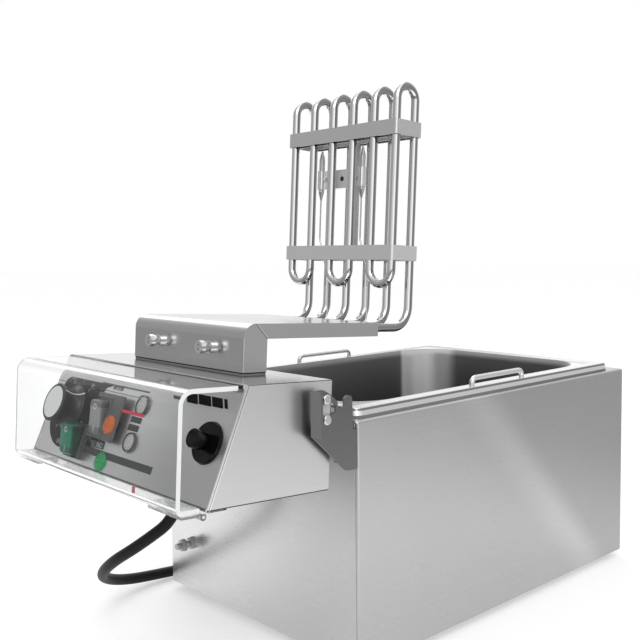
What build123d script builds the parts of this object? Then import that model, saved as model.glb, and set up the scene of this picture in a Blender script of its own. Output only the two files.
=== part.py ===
"""Counter-top electric deep fryer with a lift-out oil tank and a tilting heating head.

Millimetres, +Z up, floor at z = 0. The front of the housing faces -Y and the heating head
stands behind it at +Y. The head is drawn raised, as it stands while the element drains.
Head pieces use (x, u, w) measured from the tilt axis: u points out of the back, w points up.
Pieces are drawn with y = 0 at the middle of the housing and written with y = 0 at the middle
of housing and raised head together.
"""

import os
from math import atan, cos, hypot, pi, radians, sin, sqrt, tan

from build123d import *

os.makedirs("parts", exist_ok=True)

# Housing
housing_width = 280.0
housing_depth = 424.0
housing_height = 208.0
housing_sheet = 1.0
corner_bend = 3.0
top_edge_bend = 2.4
rear_sheet = 1.0
rear_margin = 2.2
rear_return = 14.0
base_flange = 12.0
sheet_fit = 0.1
foot_height = 8.0
foot_radius = 11.0
foot_inset_x = 50.0
foot_inset_y = 48.0

# Oil tank
tank_opening_width = 236.0
tank_front_margin = 40.0
tank_rear_margin = 19.0
tank_front = -housing_depth / 2 + tank_front_margin
tank_rear = housing_depth / 2 - tank_rear_margin
tank_corner = 45.0
tank_depth = 186.0
tank_sheet = 1.0
tank_floor_bend = 22.0
rim_flange = 15.0
rim_front_margin = 18.0
rim_rear_margin = 7.0
rim_width = tank_opening_width + 2 * rim_flange
rim_front = -housing_depth / 2 + rim_front_margin
rim_rear = housing_depth / 2 - rim_rear_margin
rim_corner = 9.0
rim_drop = 6.0
rim_slant = 20.0
seal_height = 2.0
seal_width = 6.0
tank_cutout_gap = 3.0
handle_rod = 5.0
handle_inset = 7.0
handle_x = tank_opening_width / 2 + handle_inset
handle_span = 80.0
handle_centre_y = 3.0
handle_rise = 7.2
handle_bend = 5.5

# Tilt axis and head box
axis_behind_wall = 37.0
axis_above_top = 7.2
head_lean = 3.5
head_width = 275.0
head_front = 30.0
head_rear = -57.5
head_floor = -11.7
panel_top_u = 71.5
panel_foot_u = 104.5
head_sheet = 1.0
side_sheet = 1.5
side_overlap = 0.9
panel_sheet = 1.2
lip_reach = 2.7
lip_drop = 3.0
panel_fit = 0.1

# Brackets and hinge
bracket_sheet = 2.0
rivet_inset = 15.6
hinge_gap = 5.1
bracket_bend = 5.0
bracket_tab_inner = 116.0
bracket_tab_top = -5.0
bracket_foot = -37.3
bracket_rear = 51.0
bracket_head = 31.0
rear_flange = 10.0
window_radius = 6.0
window_above_axis = 7.8
window_ahead = 3.0
stop_above_axis = 16.0
hinge_shank = 6.0
hinge_run = 0.06
hinge_hole_fit = 0.1
stop_shank = 4.0
screw_head_radius = 4.0
screw_head_height = 2.8
screw_head_round = 1.3
pad_half = 6.5
pad_clear = 0.3
hinge_end = 5.0

# Element carrier
carrier_half = 83.1
carrier_back = 35.2
carrier_front = 10.8
carrier_top = 71.4
carrier_flange = 58.9
carrier_reach = -118.5
carrier_bend = 12.0
carrier_sheet = 1.0
gasket_height = 2.0
gasket_width = 4.0
stud_x = 39.0
stud_w = 49.9
stud_radius = 5.4
stud_neck = 3.2

# Heating elements and probes
tube_radius = 4.0
tube_pitch = 28.8
leg_u = -170.2
loop_u = -144.9
loop_top = 294.4
turn_low = 106.9
arm_w = 66.0
entry_u = 22.5
entry_bend = 14.0
leg_bend = 20.0
tube_end_w = 14.0
terminal_radius = 1.6
ferrule_radius = 7.0
ferrule_height = 7.0
hole_fit = 0.3
strap_sheet = 1.0
strap_fit = 0.3
strap_height = 14.2
strap_low = 129.8
strap_high = 247.5
bar_half = 5.8
bar_sheet = 2.0
clip_x = 17.0
clip_half = 30.0
clip_w = 204.0
clip_height = 19.0
clip_sheet = 1.5
clip_screw = 21.0
probe_radius = 3.0
probe_low = 192.0
probe_high = 244.0
probe_fit = 0.1
capillary_radius = 0.8
capillary_x = 28.8
capillary_w = 63.0

# Controls on the panel
knob_x = 95.0
knob_s = 47.5
knob_radius = 17.3
skirt_radius = 21.0
knob_height = 20.0
knob_lift = 0.6
knob_waist = 1.5
disc_radius = 15.9
spindle_radius = 3.0
spindle_fit = 0.05
green_x = 63.0
green_s = 73.5
green_half = 13.25
green_width = 21.5
green_top = 10.0
grey_x = 34.0
grey_s = 50.0
grey_half = 16.0
grey_width = 19.5
rocker_tilt = 16.8
rocker_drop = 2.0
rocker_gap = 0.3
rocker_keel = 3.0
rocker_wall = 1.4
rocker_corner = 2.4
trunnion_radius = 1.5
trunnion_fit = 0.05
platform_left = -5.0
platform_right = 49.4
platform_top_s = 27.0
platform_foot_s = 73.0
platform_height = 6.4
platform_taper = 22.0
orange_x = 13.0
orange_s = 53.6
orange_radius = 7.8
green_lamp_x = 17.8
green_lamp_s = 84.2
lens_radius = 7.75
clear_lamp_x = -16.0
clear_lamp_upper_s = 31.6
clear_lamp_lower_s = 62.4
clear_lens_radius = 6.9
bezel_radius = 8.6
lamp_stem = 5.8
reset_x = -113.3
reset_s = 47.2
collar_radius = 16.5
collar_height = 2.5
reset_neck = 5.0
reset_cap = 7.2
reset_height = 15.5
reset_travel = 3.0
reset_fit = 0.3

# Clear cover
cover_half = 132.5
cover_sheet = 3.5
cover_top = 29.3
cover_start = 76.5
cover_wall = 127.25
cover_bend = 11.75
cover_foot_bend = 5.5
cover_foot = -59.25
cover_lip = 107.5
flap_u = 105.5
flap_w = -61.8
flap_knuckle = 2.6
flap_pin = 1.2
flap_x = 113.0
flap_length = 44.0
flap_gap = 0.3
leaf_sheet = 2.0

# Supply cord
cord_diameter = 11.0
gland_x = 27.0
gland_u = 12.5
gland_radius = 11.0
gland_collar = 5.0
boot_length = 22.0
boot_radius = 9.5
boot_wall = 1.5
cord_fit = 0.2
coil_x = 226.0
coil_y = 10.0
coil_outer = 72.0
coil_pitch = 12.0
coil_layer = 11.6
coil_turns = 1.5
coil_dip = 3.0
tie_sheet = 1.2
tie_width = 7.0
plug_radius = 18.3

# Bonding stud on the rear wall
bond_inset = 41.0
bond_x = housing_width / 2 - bond_inset
bond_z = 50.0
bond_radius = 3.0

# Derived places
top_z = foot_height + housing_height
rear_y = housing_depth / 2
axis_y = rear_y + axis_behind_wall
axis_z = top_z + axis_above_top
rim_z = top_z + seal_height + rim_drop
tank_floor_z = rim_z - tank_depth
lean = radians(head_lean)
u_dir = Vector(0, cos(lean), sin(lean))
w_dir = Vector(0, -sin(lean), cos(lean))
x_dir = Vector(1, 0, 0)
axis_point = Vector(0, axis_y, axis_z)


def at(x, u, w):
    """Place a head point (x, u, w) in the shared frame."""
    return axis_point + x_dir * x + u_dir * u + w_dir * w


HEAD = Plane(origin=axis_point, x_dir=x_dir, z_dir=w_dir)
SIDE = Plane(origin=axis_point, x_dir=u_dir, z_dir=x_dir)
BACK = Plane(origin=axis_point, x_dir=x_dir * -1, z_dir=u_dir)
panel_length = hypot(panel_foot_u - panel_top_u, head_front - head_rear)
slope_u = (panel_foot_u - panel_top_u) / panel_length
slope_w = (head_front - head_rear) / panel_length
s_dir = u_dir * slope_u - w_dir * slope_w
n_dir = u_dir * slope_w + w_dir * slope_u
PANEL = Plane(origin=at(0, panel_top_u, head_front), x_dir=x_dir, z_dir=n_dir)
head_half = head_width / 2
side_inner = head_half - side_sheet
WALL = Plane(origin=(0, rear_y, 0), x_dir=(-1, 0, 0), z_dir=(0, 1, 0))
FLANK = Plane(origin=(0, 0, 0), x_dir=(0, 1, 0), z_dir=(1, 0, 0))
TOP = Plane.XY.offset(top_z)
RIM = Plane.XY.offset(rim_z - rim_drop)


def on_panel(x, s, h=0.0):
    """Place a panel point: x across, s down the slope, h out of the face."""
    return PANEL.origin + x_dir * x + s_dir * s + n_dir * h


frame_shift = (at(0, cover_wall, cover_foot + cover_foot_bend).Y - rear_y) / 2
print("frame shift", round(frame_shift, 3))


def keep(piece, label):
    """Name a finished sub-part and write it in the shared frame."""
    placed = piece.part.moved(Location((0, -frame_shift, 0)))
    placed.label = label
    export_step(placed, f"parts/{label}.step")


# Housing: wrapped sheet, rear sheet, floor tray, feet
with BuildPart() as housing_wrap:
    with BuildSketch(Plane.XY.offset(foot_height)):
        with Locations((0, -rear_sheet / 2)):
            RectangleRounded(housing_width, housing_depth - rear_sheet, corner_bend)
    extrude(amount=housing_height)
    fillet(housing_wrap.faces().sort_by(Axis.Z)[-1].edges(), top_edge_bend)
    offset(amount=-housing_sheet, openings=housing_wrap.faces().sort_by(Axis.Z)[0])
    with BuildSketch(TOP):
        with Locations((0, (tank_front + tank_rear) / 2)):
            RectangleRounded(
                tank_opening_width + 2 * tank_sheet + 2 * tank_cutout_gap,
                tank_rear - tank_front + 2 * tank_sheet + 2 * tank_cutout_gap,
                tank_corner,
            )
    extrude(amount=-2 * top_edge_bend, mode=Mode.SUBTRACT)
    with BuildSketch(WALL):
        with Locations((0, foot_height + (housing_height - rear_return) / 2)):
            Rectangle(housing_width - 2 * rear_return, housing_height - rear_return)
    extrude(amount=-2 * rear_return, mode=Mode.SUBTRACT)
keep(housing_wrap, "housing_wrap")

with BuildPart() as rear_panel:
    with BuildSketch(WALL):
        with Locations((0, foot_height + (housing_height - rear_margin) / 2)):
            Rectangle(housing_width - 2 * rear_margin, housing_height - rear_margin)
        with Locations((-bond_x, foot_height + bond_z)):
            Circle(bond_radius + hole_fit, mode=Mode.SUBTRACT)
    extrude(amount=-rear_sheet)
keep(rear_panel, "rear_panel")

tray_width = housing_width - 2 * housing_sheet - 2 * sheet_fit
tray_depth = housing_depth - rear_sheet - 2 * housing_sheet - 2 * sheet_fit
with BuildPart() as base_plate:
    with BuildSketch(Plane.XY.offset(foot_height)):
        with Locations((0, -rear_sheet / 2)):
            RectangleRounded(tray_width, tray_depth, corner_bend)
    extrude(amount=base_flange)
    offset(amount=-housing_sheet, openings=base_plate.faces().sort_by(Axis.Z)[-1])
    with BuildSketch(Plane.XY.offset(foot_height)):
        with GridLocations(46, 14, 4, 7):
            SlotOverall(36, 5)
    extrude(amount=2 * housing_sheet, mode=Mode.SUBTRACT)
keep(base_plate, "base_plate")

with BuildPart() as feet:
    with BuildSketch():
        with GridLocations(housing_width - 2 * foot_inset_x, housing_depth - 2 * foot_inset_y, 2, 2):
            Circle(foot_radius)
    extrude(amount=foot_height)
    chamfer(feet.edges().group_by(Axis.Z)[0], 1.2)
keep(feet, "feet")

# Oil tank with its turned-down rim, seal and lifting rods
rim_length = rim_rear - rim_front
rim_mid = (rim_rear + rim_front) / 2
rim_wall = tank_sheet / cos(radians(rim_slant))
tank_length = tank_rear - tank_front
tank_mid = (tank_rear + tank_front) / 2
with BuildPart() as oil_tank:
    with BuildSketch(RIM):
        with Locations((0, rim_mid)):
            RectangleRounded(rim_width, rim_length, rim_corner)
    extrude(amount=rim_drop, taper=rim_slant)
    with BuildSketch(RIM):
        with Locations((0, rim_mid)):
            RectangleRounded(rim_width - 2 * rim_wall, rim_length - 2 * rim_wall, rim_corner - rim_wall)
    extrude(amount=rim_drop - tank_sheet, taper=rim_slant, mode=Mode.SUBTRACT)
    with BuildSketch(Plane.XY.offset(rim_z)):
        with Locations((0, tank_mid)):
            RectangleRounded(
                tank_opening_width + 2 * tank_sheet,
                tank_length + 2 * tank_sheet,
                tank_corner + tank_sheet,
            )
    extrude(amount=-(tank_depth + tank_sheet))
    with BuildSketch(Plane.XY.offset(rim_z)):
        with Locations((0, tank_mid)):
            RectangleRounded(tank_opening_width, tank_length, tank_corner)
    extrude(amount=-tank_depth, mode=Mode.SUBTRACT)
    well = oil_tank.faces().filter_by(Plane.XY).sort_by_distance((0, tank_mid, tank_floor_z))[0]
    fillet(well.edges(), tank_floor_bend)
    fillet(oil_tank.edges().group_by(Axis.Z)[0], tank_floor_bend + tank_sheet)
keep(oil_tank, "oil_tank")

with BuildPart() as tank_seal:
    with BuildSketch(TOP):
        with Locations((0, rim_mid)):
            RectangleRounded(rim_width - tank_sheet, rim_length - tank_sheet, rim_corner)
            RectangleRounded(
                rim_width - tank_sheet - 2 * seal_width,
                rim_length - tank_sheet - 2 * seal_width,
                rim_corner - 2,
                mode=Mode.SUBTRACT,
            )
    extrude(amount=seal_height)
keep(tank_seal, "tank_seal")

with BuildPart() as tank_handles:
    for side in (-1, 1):
        near_y = handle_centre_y + handle_span / 2
        far_y = handle_centre_y - handle_span / 2
        with BuildLine() as rod:
            FilletPolyline(
                (side * handle_x, near_y, rim_z),
                (side * handle_x, near_y, rim_z + handle_rise),
                (side * handle_x, far_y, rim_z + handle_rise),
                (side * handle_x, far_y, rim_z),
                radius=handle_bend,
            )
        with BuildSketch(Plane(origin=(side * handle_x, near_y, rim_z), z_dir=(0, 0, 1))):
            Circle(handle_rod / 2)
        sweep(path=rod.wires()[0])
keep(tank_handles, "tank_handles")

# Brackets on the rear wall that carry the head
plate_outer = head_half + hinge_gap + bracket_sheet
plate_inner = head_half + hinge_gap


def wall_point(back, up):
    """Sketch point on a flank plane: distance behind the wall, height over the housing top."""
    return (rear_y + back, top_z + up)


def make_bracket(side):
    """Folded bracket: plate with fork and window, tab on the wall, stiff rear flange."""
    with BuildPart() as piece:
        with BuildSketch(FLANK.offset(side * plate_outer)):
            with BuildLine():
                Polyline(
                    wall_point(bracket_bend, bracket_tab_top),
                    wall_point(bracket_bend, bracket_foot),
                    wall_point(16.2, bracket_foot + 0.9),
                    wall_point(bracket_rear, -4.2),
                    wall_point(bracket_rear, bracket_head),
                    wall_point(39.0, bracket_head - 0.4),
                )
                ThreePointArc(
                    wall_point(39.0, bracket_head - 0.4),
                    wall_point(31.4, 26.0),
                    wall_point(24.0, 19.0),
                )
                ThreePointArc(
                    wall_point(24.0, 19.0),
                    wall_point(20.2, 14.0),
                    wall_point(17.2, 19.0),
                )
                Line(wall_point(17.2, 19.0), wall_point(16.8, 21.5))
                ThreePointArc(
                    wall_point(16.8, 21.5),
                    wall_point(12.6, 23.4),
                    wall_point(8.6, 21.5),
                )
                Line(wall_point(8.6, 21.5), wall_point(7.2, bracket_tab_top))
                Line(wall_point(7.2, bracket_tab_top), wall_point(bracket_bend, bracket_tab_top))
            make_face()
            with Locations((axis_y, axis_z)):
                Circle(hinge_shank / 2 + hinge_hole_fit, mode=Mode.SUBTRACT)
            with Locations((axis_y, axis_z + stop_above_axis)):
                Circle(stop_shank / 2 + hinge_hole_fit, mode=Mode.SUBTRACT)
            with Locations((axis_y - window_ahead, axis_z + window_above_axis)):
                SlotOverall(2.6 * window_radius, 1.5 * window_radius, mode=Mode.SUBTRACT)
        extrude(amount=-side * bracket_sheet)
        with BuildSketch(Plane.XY.offset(top_z + bracket_foot)):
            with BuildLine():
                Line((side * plate_outer, rear_y + bracket_bend), (side * plate_inner, rear_y + bracket_bend))
                RadiusArc(
                    (side * plate_inner, rear_y + bracket_bend),
                    (side * (plate_outer - bracket_bend), rear_y + bracket_sheet),
                    side * (bracket_bend - bracket_sheet),
                )
                Line(
                    (side * (plate_outer - bracket_bend), rear_y + bracket_sheet),
                    (side * bracket_tab_inner, rear_y + bracket_sheet),
                )
                Line((side * bracket_tab_inner, rear_y + bracket_sheet), (side * bracket_tab_inner, rear_y))
                Line((side * bracket_tab_inner, rear_y), (side * (plate_outer - bracket_bend), rear_y))
                RadiusArc(
                    (side * (plate_outer - bracket_bend), rear_y),
                    (side * plate_outer, rear_y + bracket_bend),
                    -side * bracket_bend,
                )
            make_face()
        extrude(amount=bracket_tab_top - bracket_foot)
        with BuildSketch(Plane.XY.offset(top_z - 4.2)):
            with Locations((side * (plate_inner + (rear_flange + bracket_sheet) / 2), rear_y + bracket_rear - 1)):
                Rectangle(rear_flange + bracket_sheet, bracket_sheet)
        extrude(amount=bracket_head + 4.2)
    return piece


head_bracket_left = make_bracket(-1)
keep(head_bracket_left, "head_bracket_left")
head_bracket_right = make_bracket(1)
keep(head_bracket_right, "head_bracket_right")

with BuildPart() as bracket_rivets:
    for side in (-1, 1):
        for up in (-13.0, -29.0):
            with BuildSketch(WALL.offset(bracket_sheet)):
                with Locations((-side * (plate_inner - rivet_inset), top_z + up)):
                    Circle(3.4)
            extrude(amount=1.4, taper=25)
keep(bracket_rivets, "bracket_rivets")

with BuildPart() as hinge_pads:
    for side in (-1, 1):
        with BuildSketch(FLANK.offset(side * plate_inner)):
            with Locations((axis_y, axis_z + stop_above_axis / 2)):
                SlotOverall(stop_above_axis + 2 * pad_half, 2 * pad_half, rotation=90)
            with Locations((axis_y, axis_z)):
                Circle(hinge_shank / 2 + hinge_hole_fit, mode=Mode.SUBTRACT)
            with Locations((axis_y, axis_z + stop_above_axis)):
                Circle(stop_shank / 2, mode=Mode.SUBTRACT)
        extrude(amount=-side * (hinge_gap - pad_clear))
keep(hinge_pads, "hinge_pads")

with BuildPart() as hinge_screws:
    for side in (-1, 1):
        with BuildSketch(FLANK.offset(side * plate_outer)):
            with Locations((axis_y, axis_z)):
                Circle(screw_head_radius)
        extrude(amount=side * screw_head_height)
        with BuildSketch(FLANK.offset(side * plate_outer)):
            with Locations((axis_y, axis_z)):
                Circle(hinge_shank / 2)
        extrude(amount=-side * (plate_outer - side_inner + hinge_end))
    fillet(hinge_screws.edges().group_by(Axis.X)[0], screw_head_round)
    fillet(hinge_screws.edges().group_by(Axis.X)[-1], screw_head_round)
keep(hinge_screws, "hinge_screws")

with BuildPart() as stop_screws:
    for side in (-1, 1):
        with BuildSketch(FLANK.offset(side * plate_outer)):
            with Locations((axis_y, axis_z + stop_above_axis)):
                Circle(screw_head_radius)
        extrude(amount=side * screw_head_height)
        with BuildSketch(FLANK.offset(side * plate_outer)):
            with Locations((axis_y, axis_z + stop_above_axis)):
                Circle(stop_shank / 2)
        extrude(amount=-side * (bracket_sheet + hinge_gap - 2 * pad_clear))
    fillet(stop_screws.edges().group_by(Axis.X)[0], screw_head_round)
    fillet(stop_screws.edges().group_by(Axis.X)[-1], screw_head_round)
keep(stop_screws, "stop_screws")

with BuildPart() as bonding_stud:
    with BuildSketch(WALL.offset(-rear_sheet - 4)):
        with Locations((-bond_x, foot_height + bond_z)):
            Circle(bond_radius)
    extrude(amount=24 + rear_sheet)
keep(bonding_stud, "bonding_stud")

with BuildPart() as bonding_nuts:
    for back, thick in ((-rear_sheet - 3.6, 3.6), (1.0, 4.0), (11.0, 4.0)):
        with BuildSketch(WALL.offset(back)):
            with Locations((-bond_x, foot_height + bond_z)):
                RegularPolygon(5.0, 6, major_radius=False)
                Circle(bond_radius, mode=Mode.SUBTRACT)
        extrude(amount=thick)
    for back in (0.0, 10.0):
        with BuildSketch(WALL.offset(back)):
            with Locations((-bond_x, foot_height + bond_z)):
                Circle(6.2)
                Circle(bond_radius, mode=Mode.SUBTRACT)
        extrude(amount=1.0)
keep(bonding_nuts, "bonding_nuts")

# Head box: folded case, two side plates and the sloping control panel
element_x = [tube_pitch * (k - 2.5) for k in range(6)]
with BuildPart() as head_case:
    with BuildSketch(SIDE.offset(-side_inner)):
        with BuildLine():
            Polyline(
                (panel_top_u + lip_reach, head_front - lip_drop),
                (panel_top_u + lip_reach, head_front),
                (head_floor, head_front),
                (head_floor, head_rear),
                (panel_foot_u, head_rear),
                (panel_foot_u - head_sheet * slope_u / slope_w, head_rear + head_sheet),
                (head_floor + head_sheet, head_rear + head_sheet),
                (head_floor + head_sheet, head_front - head_sheet),
                (panel_top_u + lip_reach - head_sheet, head_front - head_sheet),
                (panel_top_u + lip_reach - head_sheet, head_front - lip_drop),
                close=True,
            )
        make_face()
    extrude(amount=2 * side_inner)
    with BuildSketch(HEAD.offset(head_front)):
        with Locations([(x, entry_u) for x in element_x]):
            Circle(tube_radius + hole_fit)
        with Locations((-capillary_x, entry_u), (capillary_x, entry_u)):
            Circle(capillary_radius + hole_fit)
    extrude(amount=-2 * head_sheet, mode=Mode.SUBTRACT)
    with BuildSketch(HEAD.offset(head_rear)):
        with Locations((gland_x, gland_u)):
            Circle(gland_radius - 3 + sheet_fit)
    extrude(amount=2 * head_sheet, mode=Mode.SUBTRACT)
keep(head_case, "head_case")


def make_side(side):
    """Side plate of the head, turning on its hinge screw."""
    with BuildPart() as piece:
        with BuildSketch(SIDE.offset(side * head_half)):
            with BuildLine():
                Polyline(
                    (head_floor, head_front),
                    (panel_top_u + side_overlap, head_front),
                    (panel_foot_u + side_overlap, head_rear),
                    (head_floor, head_rear),
                    close=True,
                )
            make_face()
            Circle(hinge_shank / 2 + hinge_run, mode=Mode.SUBTRACT)
        extrude(amount=-side * side_sheet)
    return piece


head_side_left = make_side(-1)
keep(head_side_left, "head_side_left")
head_side_right = make_side(1)
keep(head_side_right, "head_side_right")

panel_start = (head_sheet + panel_fit) / slope_w
panel_end = panel_length - (head_sheet + panel_fit + panel_sheet * slope_u) / slope_w
grey_reach = hypot(grey_half, (rocker_drop + grey_half * sin(radians(rocker_tilt))) / cos(radians(rocker_tilt)))
green_reach = hypot(green_half, (rocker_drop + green_half * sin(radians(rocker_tilt))) / cos(radians(rocker_tilt)))
grey_body_s = grey_reach + rocker_gap + rocker_wall
grey_body_x = grey_width / 2 + rocker_gap + rocker_wall
green_body_s = green_half
green_body_x = green_width / 2
green_depth = 12.0
with BuildPart() as control_panel:
    with BuildSketch(PANEL):
        with Locations((0, (panel_start + panel_end) / 2)):
            Rectangle(2 * (side_inner - panel_fit), panel_end - panel_start)
        with Locations((knob_x, knob_s)):
            Circle(spindle_radius + 1, mode=Mode.SUBTRACT)
        with Locations((grey_x, grey_s)):
            Rectangle(2 * (grey_body_x + sheet_fit), 2 * (grey_body_s + sheet_fit), mode=Mode.SUBTRACT)
        with Locations((green_x, green_s)):
            Rectangle(2 * (green_body_x + sheet_fit), 2 * (green_body_s + sheet_fit), mode=Mode.SUBTRACT)
        with Locations(
            (orange_x, orange_s),
            (green_lamp_x, green_lamp_s),
            (clear_lamp_x, clear_lamp_upper_s),
            (clear_lamp_x, clear_lamp_lower_s),
        ):
            Circle(lamp_stem + sheet_fit, mode=Mode.SUBTRACT)
        with Locations((reset_x, reset_s)):
            Circle(reset_neck + reset_fit, mode=Mode.SUBTRACT)
    extrude(amount=-panel_sheet)
keep(control_panel, "control_panel")

# Element carrier: hood over the tube ends and the channel that carries the legs
with BuildPart() as element_carrier:
    with BuildSketch(SIDE.offset(-carrier_half)):
        with BuildLine():
            Line((carrier_back, head_front + gasket_height), (carrier_back, carrier_top - carrier_bend))
            RadiusArc(
                (carrier_back, carrier_top - carrier_bend),
                (carrier_back - carrier_bend, carrier_top),
                -carrier_bend,
            )
            Polyline(
                (carrier_back - carrier_bend, carrier_top),
                (carrier_reach, carrier_top),
                (carrier_reach, carrier_top - carrier_sheet),
                (carrier_back - carrier_bend, carrier_top - carrier_sheet),
            )
            RadiusArc(
                (carrier_back - carrier_bend, carrier_top - carrier_sheet),
                (carrier_back - carrier_sheet, carrier_top - carrier_bend),
                carrier_bend - carrier_sheet,
            )
            Polyline(
                (carrier_back - carrier_sheet, carrier_top - carrier_bend),
                (carrier_back - carrier_sheet, head_front + gasket_height),
                (carrier_back, head_front + gasket_height),
            )
        make_face()
    extrude(amount=2 * carrier_half)
    for side in (-1, 1):
        with BuildSketch(SIDE.offset(side * carrier_half)):
            with BuildLine():
                Polyline(
                    (carrier_back - carrier_bend, carrier_top),
                    (carrier_reach, carrier_top),
                    (carrier_reach, carrier_flange),
                    (carrier_front, carrier_flange),
                    (carrier_front, head_front + gasket_height),
                    (carrier_back, head_front + gasket_height),
                    (carrier_back, carrier_top - carrier_bend),
                )
                RadiusArc(
                    (carrier_back, carrier_top - carrier_bend),
                    (carrier_back - carrier_bend, carrier_top),
                    -carrier_bend,
                )
            make_face()
        extrude(amount=-side * carrier_sheet)
    with BuildSketch(HEAD.offset(head_front + gasket_height)):
        with Locations((0, carrier_front + carrier_sheet / 2)):
            Rectangle(2 * carrier_half - carrier_sheet, carrier_sheet)
    extrude(amount=carrier_flange - head_front - gasket_height)
    with BuildSketch(BACK.offset(carrier_back)):
        with Locations((-stud_x, stud_w), (stud_x, stud_w)):
            Circle(stud_neck - 0.7)
    extrude(amount=-2 * carrier_sheet, mode=Mode.SUBTRACT)
keep(element_carrier, "element_carrier")

with BuildPart() as hood_gasket:
    with BuildSketch(HEAD.offset(head_front)):
        with Locations((0, (carrier_back + carrier_front) / 2)):
            Rectangle(2 * carrier_half - 1, carrier_back - carrier_front - 1)
            Rectangle(
                2 * carrier_half - 1 - 2 * gasket_width,
                carrier_back - carrier_front - 1 - 2 * gasket_width,
                mode=Mode.SUBTRACT,
            )
    extrude(amount=gasket_height)
keep(hood_gasket, "hood_gasket")

with BuildPart() as hood_studs:
    for x in (-stud_x, stud_x):
        for start, length, radius in (
            (carrier_back - 4, 4, stud_neck - 0.7),
            (carrier_back, 3.2, stud_radius),
            (carrier_back + 3.2, 5.4, stud_neck),
            (carrier_back + 8.6, 4.4, stud_radius),
        ):
            with BuildSketch(BACK.offset(start)):
                with Locations((-x, stud_w)):
                    Circle(radius)
            extrude(amount=length)
        with BuildSketch(BACK.offset(carrier_back + 13)):
            with Locations((-x, stud_w)):
                Rectangle(5.6, 1.3)
                Rectangle(1.3, 5.6)
        extrude(amount=-1.6, mode=Mode.SUBTRACT)
keep(hood_studs, "hood_studs")

# Three bent tube elements, each from one tube end in the head to the next
loop_radius = (loop_u - leg_u) / 2
loop_mid = (loop_u + leg_u) / 2
loop_w = loop_top - loop_radius
turn_radius = tube_pitch / 2
turn_w = turn_low + turn_radius
half_root = sqrt(0.5)


def leg(x, back):
    """One leg of an element, drawn from the head to the coil or back again."""
    stops = [
        (entry_u, tube_end_w),
        (entry_u, arm_w - entry_bend),
        (entry_u - entry_bend * (1 - half_root), arm_w - entry_bend * (1 - half_root)),
        (entry_u - entry_bend, arm_w),
        (leg_u + leg_bend, arm_w),
        (leg_u + leg_bend * (1 - half_root), arm_w + leg_bend * (1 - half_root)),
        (leg_u, arm_w + leg_bend),
        (leg_u, loop_w),
        (loop_mid, loop_top),
        (loop_u, loop_w),
        (loop_u, turn_w),
    ]
    places = [at(x, u, w) for u, w in stops]
    if back:
        places.reverse()
    for k in (0, 3, 6, 9):
        Line(places[k], places[k + 1])
    for k in (1, 4, 7):
        ThreePointArc(places[k], places[k + 1], places[k + 2])


with BuildPart() as heating_elements:
    for first, second in zip(element_x[0::2], element_x[1::2]):
        with BuildLine() as path:
            leg(first, False)
            ThreePointArc(
                at(first, loop_u, turn_w),
                at((first + second) / 2, loop_u, turn_low),
                at(second, loop_u, turn_w),
            )
            leg(second, True)
        with BuildSketch(Plane(origin=at(first, entry_u, tube_end_w), x_dir=x_dir, z_dir=w_dir)):
            Circle(tube_radius)
        sweep(path=path.wires()[0])
keep(heating_elements, "heating_elements")

with BuildPart() as element_ferrules:
    with BuildSketch(HEAD.offset(head_front - head_sheet)):
        with Locations([(x, entry_u) for x in element_x]):
            Circle(ferrule_radius)
            Circle(tube_radius, mode=Mode.SUBTRACT)
    extrude(amount=-ferrule_height)
keep(element_ferrules, "element_ferrules")

with BuildPart() as element_terminals:
    with BuildSketch(HEAD.offset(tube_end_w)):
        with Locations([(x, entry_u) for x in element_x]):
            Circle(terminal_radius)
    extrude(amount=-9)
keep(element_terminals, "element_terminals")

strap_half_x = 2.5 * tube_pitch + tube_radius + strap_fit + strap_sheet
strap_half_u = loop_radius + tube_radius + strap_fit + strap_sheet
leg_web_u = leg_u + tube_radius + strap_fit + strap_sheet / 2
turn_web_u = loop_u - tube_radius - strap_fit - strap_sheet / 2


def make_strap(low):
    """Band around both tube layers with a web behind each layer."""
    with BuildPart() as piece:
        with BuildSketch(HEAD.offset(low)):
            with Locations((0, loop_mid)):
                RectangleRounded(2 * strap_half_x, 2 * strap_half_u, 2.2)
                RectangleRounded(
                    2 * (strap_half_x - strap_sheet),
                    2 * (strap_half_u - strap_sheet),
                    1.2,
                    mode=Mode.SUBTRACT,
                )
            with Locations((0, leg_web_u), (0, turn_web_u)):
                Rectangle(2 * strap_half_x - strap_sheet, strap_sheet)
        extrude(amount=strap_height)
    return piece


element_strap_lower = make_strap(strap_low)
keep(element_strap_lower, "element_strap_lower")
element_strap_upper = make_strap(strap_high)
keep(element_strap_upper, "element_strap_upper")

bar_u = leg_web_u + strap_sheet / 2
with BuildPart() as centre_bar:
    with BuildSketch(HEAD.offset(strap_low + 1)):
        with Locations((0, bar_u + bar_sheet / 2)):
            Rectangle(2 * bar_half, bar_sheet)
    extrude(amount=strap_high + strap_height - 2 - strap_low)
keep(centre_bar, "centre_bar")

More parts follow.
